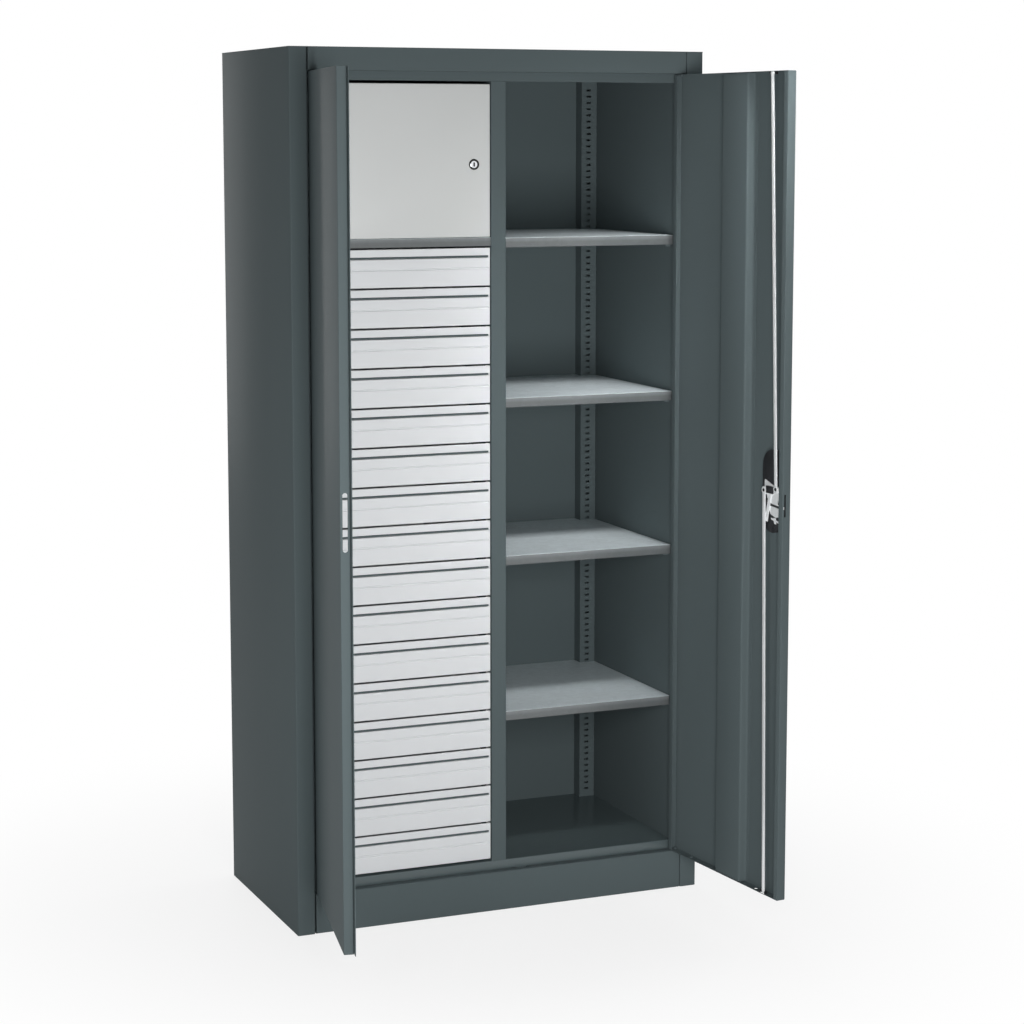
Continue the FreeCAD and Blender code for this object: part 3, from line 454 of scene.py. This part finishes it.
# %% Carcass sizes
HEIGHT, WIDTH, DEPTH = 1950.0, 985.0, 500.0
STILE, RETURN, STOP = 40.0, 25.0, 12.0      # front frame: its width, its turn inwards, its stop flange
HEADER, PLINTH, DECK = 50.0, 90.0, 110.0    # header's height, plinth's height, top of the floor
PARTITION = 36.0                            # width of the wall between the two sides
STOP_RAIL = 20.0                            # how far the stop rail hangs below the header
side = WIDTH / 2
opening = side - STILE
flange = opening - STOP
front, rear = -DEPTH / 2, DEPTH / 2
stop = front + RETURN                       # the plane that doors and drawers close against
inner_rear = rear - 11.2                    # rear edge of floor and walls, just inside the back panel
roof = HEIGHT - SHEET
lintel = HEIGHT - HEADER                    # underside of the header
rail_low = lintel - STOP_RAIL
half_wall = PARTITION / 2
left_lining, right_lining = -(flange - 14.5), flange - 1.5      # inner faces of the two linings
print("opening:", 2 * opening, "mm wide")

# %% [markdown]
# ## The carcass
# A side is one sheet: a stop flange, a turn inwards, the stile that shows at the front, the outer wall,
# and a fold at the back. The header and the plinth turn in under the roof and over the floor in the same
# way, and leave slots where the lock's rods go in. They end a little before the stiles, and that gap is
# the fine dark seam in each corner.

# %% Sides
PRESS = 2.5                 # outside radius of the frame's bends
REAR_FOLD = 20.0
side_line = [(flange, stop), (opening, stop), (opening, front), (side, front), (side, rear),
             (side - REAR_FOLD, rear), (side - REAR_FOLD, rear - 10.5)]
side_right = bend("side_wall_right", side_line, "Z", 0, roof, radius=PRESS)
side_left = bend("side_wall_left", [(-x, y) for x, y in side_line][::-1], "Z", 0, roof, radius=PRESS)
place(side_right, "carcass", slate, "slate", ["side_panel_right"])
place(side_left, "carcass", slate, "slate", ["side_panel_left"])
print("sides:", len(side_right.data.polygons), "faces each")

# %% Header and plinth
SEAM = 2.6                                  # gap between the header or plinth and a stile
UPPER_CATCH, LOWER_CATCH = 58.0, 53.0       # where the rods go in, along X
CATCH_WIDTH, CATCH_FRONT, CATCH_BACK = 24.5, front + 10, stop - 2
beam = opening - SEAM


def catch_punch(x, z):
    return block("punch", (x - CATCH_WIDTH / 2, CATCH_FRONT, z - 4), (x + CATCH_WIDTH / 2, CATCH_BACK, z + 4))


header = bend("header", [(front, roof), (front, lintel), (stop, lintel)], "X", -beam, beam, radius=PRESS)
cut(header, [catch_punch(UPPER_CATCH, lintel + SHEET / 2)])
rail_line = [(stop, lintel + 1), (stop, rail_low), (stop + 15, rail_low)]
rail = bend("stop_rail", rail_line, "X", left_lining, right_lining)
place(weld("header_beam", [header, rail]), "carcass", slate, "slate", ["header_rail"])
plinth_line = [(stop, PLINTH - 20), (stop, PLINTH), (front, PLINTH), (front, 0), (stop, 0)]
plinth = bend("plinth", plinth_line, "X", -beam, beam, radius=PRESS)
cut(plinth, [catch_punch(LOWER_CATCH, PLINTH - SHEET / 2)])
place(plinth, "carcass", slate, "slate", ["plinth_front"])
print("plinth bounds:", [round(v, 3) for v in plinth.bound_box[0]])

# %% Floor and partition
LOCK_X, LOCK_HEIGHT = -59.0, 1698.0         # the locker's lock; its cam turns into a slot in the partition
deck = bend("deck", [(inner_rear, DECK), (stop, DECK), (stop, DECK - 35)], "X", -flange, flange)
place(deck, "carcass", slate_floor, "slate", ["floor_panel"])
wall_line = [(-half_wall, inner_rear), (-half_wall, stop), (half_wall, stop), (half_wall, inner_rear)]
wall = bend("wall", wall_line, "Z", DECK, rail_low)
cut(wall, [block("punch", (-half_wall - 2, stop + 19, LOCK_HEIGHT - 24),
                 (-half_wall + 3, stop + 27, LOCK_HEIGHT + 9))])
upper = [bend("upper", [(-half_wall, inner_rear), (-half_wall, stop + 20)], "Z", rail_low, roof),
         bend("upper", [(half_wall, stop + 20), (half_wall, inner_rear)], "Z", rail_low, roof)]
place(weld("middle_wall", [wall] + upper), "carcass", slate, "slate", ["partition"])
print("floor and partition made")

# %% [markdown]
# ## Shelves
# Each shelf is bare galvanised sheet. Its front edge is folded down and back under, its sides turn down
# and in to rest on the clips, and its rear corners are notched round the slotted uprights.

# %% Shelves
SHELF_COUNT, FIRST_SHELF, SHELF_STEP = 4, 455.0, 360.0
SHELF_EDGE, SHELF_FRONT, SHELF_REAR = 22.0, stop + 10, rear - 13
UPRIGHT = 41.0                              # notch for a slotted upright
NOTCH = 204.0                               # where the notches begin, along Y
LOCKER_DECK, LOCKER_EDGE = 1537.0, 19.5     # top of the locker's floor, and how far its edge drops
shelf_left, shelf_right = half_wall + 1, right_lining - 1


def shelf_top(top, left, right, front_edge, rear_edge, drop):
    low = top - drop
    line = [(rear_edge, top), (front_edge, top), (front_edge, low), (front_edge + 14, low)]
    return bend("tray", line, "X", left, right, THIN, 1.3), low


for number in range(SHELF_COUNT):
    top = FIRST_SHELF + SHELF_STEP * number
    label = "shelf_%d" % (number + 1)
    tray, low = shelf_top(top, shelf_left, shelf_right, SHELF_FRONT, SHELF_REAR, SHELF_EDGE)
    near, far = shelf_left + UPRIGHT, shelf_right - UPRIGHT
    cut(tray, [block("punch", (near - 50, NOTCH, low - 5), (near, rear - 5, top + 5)),
               block("punch", (far, NOTCH, low - 5), (far + 53, rear - 5, top + 5))])
    left_line = [(shelf_left, top - 2), (shelf_left, low), (shelf_left + 27, low)]
    right_line = [(shelf_right - 27, low), (shelf_right, low), (shelf_right, top - 2)]
    folds = [bend("fold", line, "Y", SHELF_FRONT + 2, NOTCH, THIN, 1.5) for line in (left_line, right_line)]
    folds.append(bend("fold", [(SHELF_REAR, low), (SHELF_REAR, top - 2)], "X", near, far, THIN))
    place(weld("steel_" + label, [tray] + folds), "carcass", galvanised, "galvanised", [label])
tray, low = shelf_top(LOCKER_DECK, left_lining, -half_wall, stop + 3, inner_rear, LOCKER_EDGE)
place(weld("locker_deck", [tray]), "carcass", galvanised, "galvanised", ["locker_shelf"])
print("four shelves and the locker's floor")

# %% [markdown]
# ## Drawers
# Sixteen equal drawers: the front is one folded sheet with a grip band along the top, a groove under it
# with a slate strip in it as painted shade, and a fine crease lower down. Caps close its ends. One drawer
# is made once, and the others are copies of its mesh moved down by the pitch.

# %% One drawer
DRAWER_COUNT, DRAWER_PITCH = 16, 87.6
DRAWER_TOP = LOCKER_DECK - LOCKER_EDGE - 3.5
DRAWER_LEFT, DRAWER_RIGHT = left_lining + 3, -half_wall - 3
FRONT_HEIGHT, FRONT_DEPTH = 83.7, 18.0
BAND, CREASE = 16.5, 45.0                   # bottom of the grip band and the crease, from the top edge
TRAY = (401.0, 400.0, 66.0)                 # width, depth and height of the box behind a front


def drawer_front():
    """The folded front with its end caps, its top edge at Z 0."""
    face, back = stop, stop + FRONT_DEPTH
    line = [(face + 4.5, -9), (face + 4.5, 0), (face, 0), (face, -BAND), (face + 10, -BAND - 0.4),
            (face + 10, -BAND - 5), (face + 0.5, -BAND - 5.5), (face, -CREASE + 2.2), (face + 3.5, -CREASE),
            (face, -CREASE - 2.2), (face, -FRONT_HEIGHT), (face + 5, -FRONT_HEIGHT)]
    skin = bend("skin", line, "X", DRAWER_LEFT + 0.6, DRAWER_RIGHT - 0.6, THIN, 1.1)
    caps = [block("cap", (x, face + 0.3, 0.3 - FRONT_HEIGHT), (x + 4, back, -0.3), 0.6)
            for x in (DRAWER_LEFT, DRAWER_RIGHT - 4)]
    bridge = block("bridge", (DRAWER_LEFT + 2, face + 11, -BAND - 1.5), (DRAWER_RIGHT - 2, back, -BAND), 0.3)
    return [skin] + caps + [bridge]


def drawer_tray():
    """The open box behind the front."""
    bm = bmesh.new()
    bmesh.ops.create_cube(bm, size=1.0)
    bmesh.ops.scale(bm, vec=TRAY, verts=bm.verts)
    centre = ((DRAWER_LEFT + DRAWER_RIGHT) / 2, stop + FRONT_DEPTH + TRAY[1] / 2,
              4 - FRONT_HEIGHT + TRAY[2] / 2)
    bmesh.ops.translate(bm, vec=centre, verts=bm.verts)
    lid = max(bm.faces, key=lambda f: f.calc_center_median().z)
    bmesh.ops.delete(bm, geom=[lid], context="FACES")
    folds = [e for e in bm.edges if len(e.link_faces) == 2]
    bmesh.ops.bevel(bm, geom=folds, offset=1.5, segments=3, profile=0.5, affect="EDGES", material=-1)
    bmesh.ops.recalc_face_normals(bm, faces=bm.faces[:])
    return thicken(as_object("tray", bm), THIN, False)


pattern = weld("drawer_pattern", drawer_front() + [drawer_tray()])
print("one drawer:", len(pattern.data.polygons), "faces")

# %% Sixteen drawers
for number in range(DRAWER_COUNT):
    label = "drawer_%02d" % (number + 1)
    copy = bpy.data.objects.new("steel_" + label, pattern.data.copy())
    bpy.context.scene.collection.objects.link(copy)
    drop = Matrix.Translation((0, 0, DRAWER_TOP - DRAWER_PITCH * number))
    place(copy, label, white, "white", [label], drop)
    # The slate strip in the groove is painted shade: it darkens the groove under the grip band.
    strip = block("groove_shade_strip_%02d" % (number + 1), (DRAWER_LEFT + 2, stop + 0.8, -BAND - 4.1),
                  (DRAWER_RIGHT - 2, stop + 8, -BAND - 0.5), 0.4)
    place(strip, label, slate, "slate", (), drop)
bpy.data.objects.remove(pattern)
print("sixteen drawers in place")

# %% [markdown]
# ## Doors
# A door is a shallow pan: its skin turns back on all four sides, and the two upright sides end in a
# narrow lip. It is made in its own flat coordinates, s from the hinge edge, d from the outer face, z up,
# and then laid onto the hinge and swung open. A mirrored placing turns a mesh inside out, so its faces
# are turned back.

# %% Door placing
EDGE = opening - 2.0                        # hinge edge of a door, from the middle
PIVOT_IN, PIVOT_BACK = 8.0, 5.0             # pivot from the hinge edge and from the outer face
LEFT_OPEN, RIGHT_OPEN = 101.0, 95.0         # degrees, as in the photograph
MEETING = -8.5                              # where the doors meet, along X


def hung(hand, degrees):
    """Door coordinates to the cabinet's, for the left (-1) or right (1) door."""
    pivot = Vector((hand * (EDGE - PIVOT_IN), front + PIVOT_BACK, 0))
    lay = Matrix.Translation((hand * EDGE, front, 0)) @ Matrix.Diagonal((-hand, 1, 1, 1))
    turn = Matrix.Rotation(math.radians(hand * degrees), 4, "Z")
    return Matrix.Translation(pivot) @ turn @ Matrix.Translation(-pivot) @ lay


left_hung, right_hung = hung(-1, LEFT_OPEN), hung(1, RIGHT_OPEN)
print("doors open", LEFT_OPEN, "and", RIGHT_OPEN, "degrees")

# %% Door shapes
DOOR_LOW, DOOR_HIGH = PLINTH + 2, lintel - 2
LIP = 15.0                                  # width of the inner lip
LEFT_DEPTH, RIGHT_DEPTH = 21.0, 20.5
CROWN_NEAR, CROWN_FAR, LEAN = 200.0, 300.0, 3.0     # the stiffener's crown, and how far its sides lean
left_width, right_width = EDGE + MEETING - 1, EDGE - MEETING - 1


def pan(name, width, depth, low, high, radius):
    """A shallow tray that opens to the back, with a lip along its two upright sides."""
    bm = bmesh.new()
    bmesh.ops.create_cube(bm, size=1.0)
    tall = high - low
    bmesh.ops.scale(bm, vec=(width, depth, tall), verts=bm.verts)
    centre = Vector((width / 2, depth / 2, (low + high) / 2))
    bmesh.ops.translate(bm, vec=centre, verts=bm.verts)
    mouth = max(bm.faces, key=lambda f: f.calc_center_median().y)
    upright = [e for e in mouth.edges if abs(e.verts[0].co.z - e.verts[1].co.z) > 1]
    bmesh.ops.delete(bm, geom=[mouth], context="FACES_ONLY")
    grown = bmesh.ops.extrude_edge_only(bm, edges=upright)
    bmesh.ops.scale(bm, vec=((width - 2 * LIP) / width, 1, (tall - 5) / tall),
                    space=Matrix.Translation(-centre), verts=new_points(grown))
    folds = [e for e in bm.edges if len(e.link_faces) == 2 and e.calc_face_angle() > 0.5]
    bmesh.ops.bevel(bm, geom=folds, offset=radius, segments=3, profile=0.5, affect="EDGES", material=-1)
    bmesh.ops.recalc_face_normals(bm, faces=bm.faces[:])
    return thicken(as_object(name, bm), THIN, False)


def hat(name, height):
    """The stiffener: two feet on the door's skin and a raised crown between them."""
    foot = 2 * THIN
    line = [(CROWN_FAR + 16, foot), (CROWN_FAR + LEAN, foot), (CROWN_FAR, foot + height),
            (CROWN_NEAR, foot + height), (CROWN_NEAR - LEAN, foot), (CROWN_NEAR - 17, foot)]
    return bend(name, line, "Z", DOOR_LOW + 2, DOOR_HIGH - 2, THIN, 4.0)


print("doors:", left_width, "and", right_width, "mm wide")

# %% Left door
LEFT_SLOT_DEPTH, LEFT_SLOT_Z = 10.2, 989.5  # middle of the long slot in the door's free edge
left_pan = pan("left_pan", left_width, LEFT_DEPTH, DOOR_LOW, DOOR_HIGH, 1.8)
cut(left_pan, [slot_block("punch", (left_width - 4, LEFT_SLOT_DEPTH, LEFT_SLOT_Z), 5.2, 110.6, 8, "X")])
place(left_pan, "left_door", slate, "slate", ["left_door_pan"], left_hung)
place(hat("left_hat", 17.5), "left_door", slate, "slate", ["left_door_stiffener"], left_hung)
strip = block("left_stop_strip", (left_width - 26, LEFT_DEPTH, DOOR_LOW + 2),
              (left_width + 19, LEFT_DEPTH + 1.5, DOOR_HIGH - 2), 0.5)
place(strip, "left_door", slate, "slate", ["left_door_stop_lip"], left_hung)
print("left door hung")

# %% Right door
TUB_S, TUB_Z = right_width - 55, 994.0      # middle of the handle's opening
ROD_S = right_width - 63                    # middle of the rods' openings
RIGHT_SLOT_DEPTH, RIGHT_SLOT_Z = 14.1, 969.0    # middle of the short slot in the free edge
DRAINS = (90.0, 360.0)                      # drain holes in the foot, along S
right_pan = pan("right_pan", right_width, RIGHT_DEPTH, DOOR_LOW, DOOR_HIGH, 1.8)
punches = [slot_block("punch", (TUB_S, -3, TUB_Z), 37.4, 108, 8, "Y"),
           slot_block("punch", (right_width - 4, RIGHT_SLOT_DEPTH, RIGHT_SLOT_Z), 2.2, 45.6, 8, "X")]
punches += [block("punch", (ROD_S - 9, 14, low), (ROD_S + 9, 19, high))
            for low, high in ((DOOR_HIGH - 5, DOOR_HIGH + 4), (DOOR_LOW - 4, DOOR_LOW + 4))]
punches += [block("punch", (s - 4, 7, DOOR_LOW - 4), (s + 4, 15, DOOR_LOW + 4), 3.0) for s in DRAINS]
cut(right_pan, punches)
place(right_pan, "right_door", slate, "slate", ["right_door_pan"], right_hung)
place(hat("right_hat", 16.6), "right_door", slate, "slate", ["right_door_stiffener"], right_hung)
print("right door hung")

# %% [markdown]
# ## Softened copies
# The lock's small parts and the feet have the right shape already, and only their edges are too crisp. A
# copy of the part is merged into clean faces and its edges get a small bevel, its width given in
# millimetres.

# %% Softened copies
def softened(part, name, width, mat):
    bm = bmesh.new()
    bm.from_mesh(nodes[part].data)
    bmesh.ops.remove_doubles(bm, verts=bm.verts, dist=1e-6)
    bmesh.ops.dissolve_limit(bm, angle_limit=math.radians(1), verts=bm.verts, edges=bm.edges)
    obj = as_object(name, bm)
    ease = obj.modifiers.new("ease", "BEVEL")
    ease.width = width * MM
    ease.segments = 2
    ease.limit_method = "ANGLE"
    ease.angle_limit = math.radians(40)
    settle(obj)
    dress(obj, mat)
    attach(obj, body_of(nodes[part])[0])
    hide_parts(part)
    return obj


LOCK_PARTS = (("handle_tub", "grip_tub", 0.5, black), ("lock_grip", "turning_grip", 1.5, black),
              ("lock_cam", "lock_cam_plate", 0.4, zinc), ("upper_rod", "rod_up", 0.5, zinc),
              ("lower_rod", "rod_down", 0.5, zinc), ("key_cylinder", "key_plug", 0.2, chrome),
              ("levelling_feet", "feet", 1.0, black))
for part, name, width, mat in LOCK_PARTS:
    made = softened(part, name, width, mat)
    print(name, len(made.data.polygons), "faces")

# %% [markdown]
# ## The lock's case
# Behind the turning cam lies a zinc case plate. It is a flat punching: its outline starts as one face of a
# few corners, is drawn out to the sheet's thickness, and its edges are eased. Two bands are punched out of
# it, so that the black tub shows through as dark arcs. A moulded cross holds it below.

# %% Case plate
def punching(name, corners, low, high, ease):
    """A flat plate in door coordinates: its corners are (s, z), its faces lie at two depths."""
    bm = bmesh.new()
    face = bm.faces.new([bm.verts.new((s, low, z)) for s, z in corners])
    grown = bmesh.ops.extrude_face_region(bm, geom=[face])
    bmesh.ops.translate(bm, vec=(0, high - low, 0), verts=new_points(grown))
    bmesh.ops.recalc_face_normals(bm, faces=bm.faces[:])
    upright = [e for e in bm.edges if abs(e.verts[0].co.y - e.verts[1].co.y) > 0.1]
    bmesh.ops.bevel(bm, geom=upright, offset=ease, segments=5, profile=0.5, affect="EDGES", material=-1)
    return settle(as_object(name, bm))


CASE_LINE = [(376, 1019), (415, 1006), (437, 1001), (437, 942), (420, 938), (400, 944), (394, 956),
             (386, 970), (386, 985), (376, 987)]
LONG_BAND = [(383, 972), (396, 962), (433, 959), (433, 964.5), (404, 967), (386, 979)]
SHORT_BAND = [(425, 967), (434, 967), (434, 976), (429, 976)]
CROSS_BAR = [(402, 933), (403, 936.5), (433, 930), (432, 926.5)]
CROSS_STEM = [(411, 937), (419, 937), (421, 924), (415, 924)]
CASE_FACE = 11.0                            # depth of the case's outer side in the door
case = punching("lock_case", CASE_LINE, CASE_FACE, CASE_FACE + 1.5, 3.0)
cut(case, [punching("punch", LONG_BAND, 9, 14, 1.2), punching("punch", SHORT_BAND, 9, 14, 0.8)])
place(case, "right_door", zinc, "zinc", ["lock_plate"], right_hung)
cross = weld("case_cross", [punching("arm", CROSS_BAR, CASE_FACE, CASE_FACE + 1.6, 0.8),
                            punching("arm", CROSS_STEM, CASE_FACE, CASE_FACE + 1.5, 0.8)])
place(cross, "right_door", white, "white", matrix=right_hung)
nub = block("flange_nub", (right_width - 0.4, 16.6, 961), (right_width + 1, 18.4, 967), 0.5)
place(nub, "right_door", white, "white", matrix=right_hung)
print("case plate:", len(case.data.polygons), "faces")

# %% [markdown]
# ## The spindle
# The grip outside turns the cam inside by a round spindle with a nut and a collar. The round part is spun
# from its half section about the Y axis.

# %% Spindle
def turned(name, profile):
    """A body of revolution: (radius, depth) points spun about the Y axis."""
    bm = bmesh.new()
    points = [bm.verts.new((radius, depth, 0)) for radius, depth in profile]
    for pair in zip(points, points[1:]):
        bm.edges.new(pair)
    bmesh.ops.spin(bm, geom=bm.verts[:] + bm.edges[:], cent=(0, 0, 0), axis=(0, 1, 0),
                   angle=math.radians(360), steps=48, use_merge=True)
    bmesh.ops.remove_doubles(bm, verts=bm.verts[:], dist=1e-4)
    bmesh.ops.recalc_face_normals(bm, faces=bm.faces[:])
    return settle(as_object(name, bm))


SPINDLE_S, SPINDLE_Z = right_width - 55.5, 998.0
shaft = turned("shaft", [(0, 8.5), (5, 8.5), (5, 14.8), (8, 14.8), (8, 18.4), (7.4, 18.8), (0, 18.8)])
collar = block("collar", (-13, 15.0, -8), (13, 18.6, 8), 0.8)
place(weld("spindle_collar", [shaft, collar]), "lock_handle", black, "black_plastic", ["lock_spindle"],
      right_hung @ Matrix.Translation((SPINDLE_S, 0, SPINDLE_Z)))
dress(nodes["cam_pins"], black)
print("spindle made")

# %% [markdown]
# ## The locker's door and lock
# The locker's door is a small pan of the same make. Its lock is a turned thing: a dark collar lies on the
# door, and in it sits a bright plug with a keyway. Both are spun from their half sections, and the keyway
# is punched into the plug's face. A near-black piece at the bottom of the keyway is painted shade, put
# there because bright walls alone would hide the hole.

# %% Locker door
LOCKER_LEFT, LOCKER_RIGHT = left_lining + 3, -half_wall - 2.5
LOCKER_LOW, LOCKER_HIGH = LOCKER_DECK + 1, rail_low - 6
locker = pan("locker_pan", LOCKER_RIGHT - LOCKER_LEFT, 18.0, LOCKER_LOW, LOCKER_HIGH, 2.0)
cut(locker, [slot_block("punch", (LOCK_X - LOCKER_LEFT, -3, LOCK_HEIGHT), 9.2, 0.001, 8, "Y")])
place(locker, "locker_door", light_grey, "light_grey", ["locker_door_pan"],
      Matrix.Translation((LOCKER_LEFT, stop, 0)))
print("locker door made")

# %% Locker lock
KEYWAY = 6.0                # straight part of the keyway
spot = Matrix.Translation((LOCK_X, stop, LOCK_HEIGHT))
ring = turned("lock_ring", [(8.3, -0.3), (8.7, -2.7), (9.6, -3.5), (10.9, -3.3), (11.8, -2.2), (12.0, -0.3),
                            (8.3, -0.3)])
plug_line = [(0, -1.6), (7.3, -1.6), (8.0, -1.3), (8.2, -0.8), (8.2, 21.6), (7.8, 22), (0, 22)]
plug = turned("lock_plug", plug_line)
cut(plug, [slot_block("punch", (0, -4, 0), 1.9, KEYWAY, 6, "Y")])
# The keyway's near-black piece is painted shade: it stands where the shadow inside the hole falls.
core = weld("keyway_painted_shade", [slot_block("core", (0, -1.4, 0), 1.85, KEYWAY, 3.0, "Y")])
place(ring, "locker_lock", dark_collar_and_painted_shade, "chrome", matrix=spot)
place(core, "locker_lock", dark_collar_and_painted_shade, "chrome", matrix=spot)
place(plug, "locker_lock", chrome, "chrome", ["locker_lock_barrel"], spot)
print("locker lock made")

# %% [markdown]
# ## Floor, light and world
# A studio cut-out has white all round and soft light. The front lamp stands to the left of the opening, a
# little below the middle, so that it reaches the drawers, the frame and the inside of the right door. A
# small lamp high up, with a narrow spread, throws its light under the header and onto the shelves. Weaker
# lamps stand at the left, the right, behind and above, so that the other sides aren't black. A pale world
# fills the rest. The floor and the world look white to the camera and to reflections, and only as bright
# as they should to everything else.

# %% World
FILL = 0.16                 # how bright the world is to everything but the camera and reflections
world = bpy.data.worlds.new("studio")
bpy.context.scene.world = world
world.use_nodes = True
tree = world.node_tree
tree.nodes.clear()
out = node(tree, "ShaderNodeOutputWorld")
seen = node(tree, "ShaderNodeBackground")
seen.inputs["Color"].default_value = (1, 1, 1, 1)
seen.inputs["Strength"].default_value = 1.0
fill = node(tree, "ShaderNodeBackground")
fill.inputs["Color"].default_value = (0.97, 0.99, 1.0, 1)
fill.inputs["Strength"].default_value = FILL
pick = node(tree, "ShaderNodeMixShader")
rays = node(tree, "ShaderNodeLightPath").outputs
direct = maths(tree, "MAXIMUM", rays["Is Camera Ray"], rays["Is Transmission Ray"])
wire(tree, maths(tree, "MAXIMUM", direct, rays["Is Glossy Ray"]), pick.inputs[0])
wire(tree, fill.outputs[0], pick.inputs[1])
wire(tree, seen.outputs[0], pick.inputs[2])
wire(tree, pick.outputs[0], out.inputs["Surface"])
print("world fill:", FILL)


# %% Lamps
def lamp(name, place, target, size, watts, spread=180.0):
    data = bpy.data.lights.new(name, "AREA")
    data.shape = "RECTANGLE"
    data.size, data.size_y = size
    data.energy = watts
    data.spread = math.radians(spread)
    obj = bpy.data.objects.new(name, data)
    bpy.context.scene.collection.objects.link(obj)
    obj.visible_camera = False
    obj.location = place
    obj.rotation_euler = (Vector(target) - Vector(place)).to_track_quat("-Z", "Y").to_euler()
    return obj


lamp("front_lamp", (-0.85, -3.2, 1.1), target=(0.0, 0.0, 1.0), size=(0.8, 1.3), watts=60.0)
lamp("left_lamp", (-1.7, -1.6, 0.9), target=(-0.3, -0.3, 0.9), size=(0.5, 0.9), watts=7.5)
lamp("shelf_lamp", (0.42, -1.2, 2.5), target=(0.3, 0.0, 0.95), size=(0.3, 0.3), watts=1.2, spread=38.0)
lamp("right_lamp", (3.2, 0.3, 1.3), target=(0.5, -0.1, 1.0), size=(1.6, 1.8), watts=50.0)
lamp("back_lamp", (0.2, 3.3, 1.4), target=(0.0, 0.25, 1.0), size=(1.8, 1.6), watts=60.0)
lamp("roof_lamp", (0.0, 0.7, 3.9), target=(0.0, 0.0, 1.9), size=(1.4, 0.8), watts=20.0)

# %% Floor
FLOOR_HALF = 14.0           # metres from the middle to an edge
NEAR, FAR = 0.5, 1.6        # metres from the middle between which the floor's shadow fades out
NEAR_GLOW = 0.8             # share of plain white near the object; further out it is all white
floor_mesh = bpy.data.meshes.new("studio_floor")
bm = bmesh.new()
bmesh.ops.create_grid(bm, x_segments=4, y_segments=4, size=FLOOR_HALF)
bm.to_mesh(floor_mesh)
bm.free()
floor = bpy.data.objects.new("studio_floor", floor_mesh)
bpy.context.scene.collection.objects.link(floor)
floor_mat = bpy.data.materials.new("studio_floor")
floor_mat.use_nodes = True
tree = floor_mat.node_tree
base = tree.nodes["Principled BSDF"]
base.inputs["Base Color"].default_value = (0.8, 0.8, 0.8, 1)
base.inputs["Roughness"].default_value = 0.9
glow = node(tree, "ShaderNodeEmission")
glow.inputs["Color"].default_value = (1, 1, 1, 1)
glow.inputs["Strength"].default_value = 1.0
share = node(tree, "ShaderNodeMixShader")
rays = node(tree, "ShaderNodeLightPath").outputs
reach = node(tree, "ShaderNodeVectorMath", operation="LENGTH")
wire(tree, node(tree, "ShaderNodeTexCoord").outputs["Object"], reach.inputs[0])
fade = node(tree, "ShaderNodeMapRange", interpolation_type="SMOOTHSTEP")
fade.inputs["From Min"].default_value = NEAR
fade.inputs["From Max"].default_value = FAR
fade.inputs["To Min"].default_value = NEAR_GLOW
fade.inputs["To Max"].default_value = 1.0
wire(tree, reach.outputs["Value"], fade.inputs["Value"])
seen_rays = maths(tree, "MAXIMUM", rays["Is Camera Ray"], rays["Is Glossy Ray"])
seen_rays = maths(tree, "MAXIMUM", seen_rays, rays["Is Transmission Ray"])
wire(tree, maths(tree, "MULTIPLY", seen_rays, fade.outputs[0]), share.inputs[0])
wire(tree, base.outputs[0], share.inputs[1])
wire(tree, glow.outputs[0], share.inputs[2])
wire(tree, share.outputs[0], tree.nodes["Material Output"].inputs["Surface"])
floor.data.materials.append(floor_mat)
bpy.context.scene.view_settings.view_transform = "Standard"
print("floor size", tuple(round(v, 1) for v in floor.dimensions))
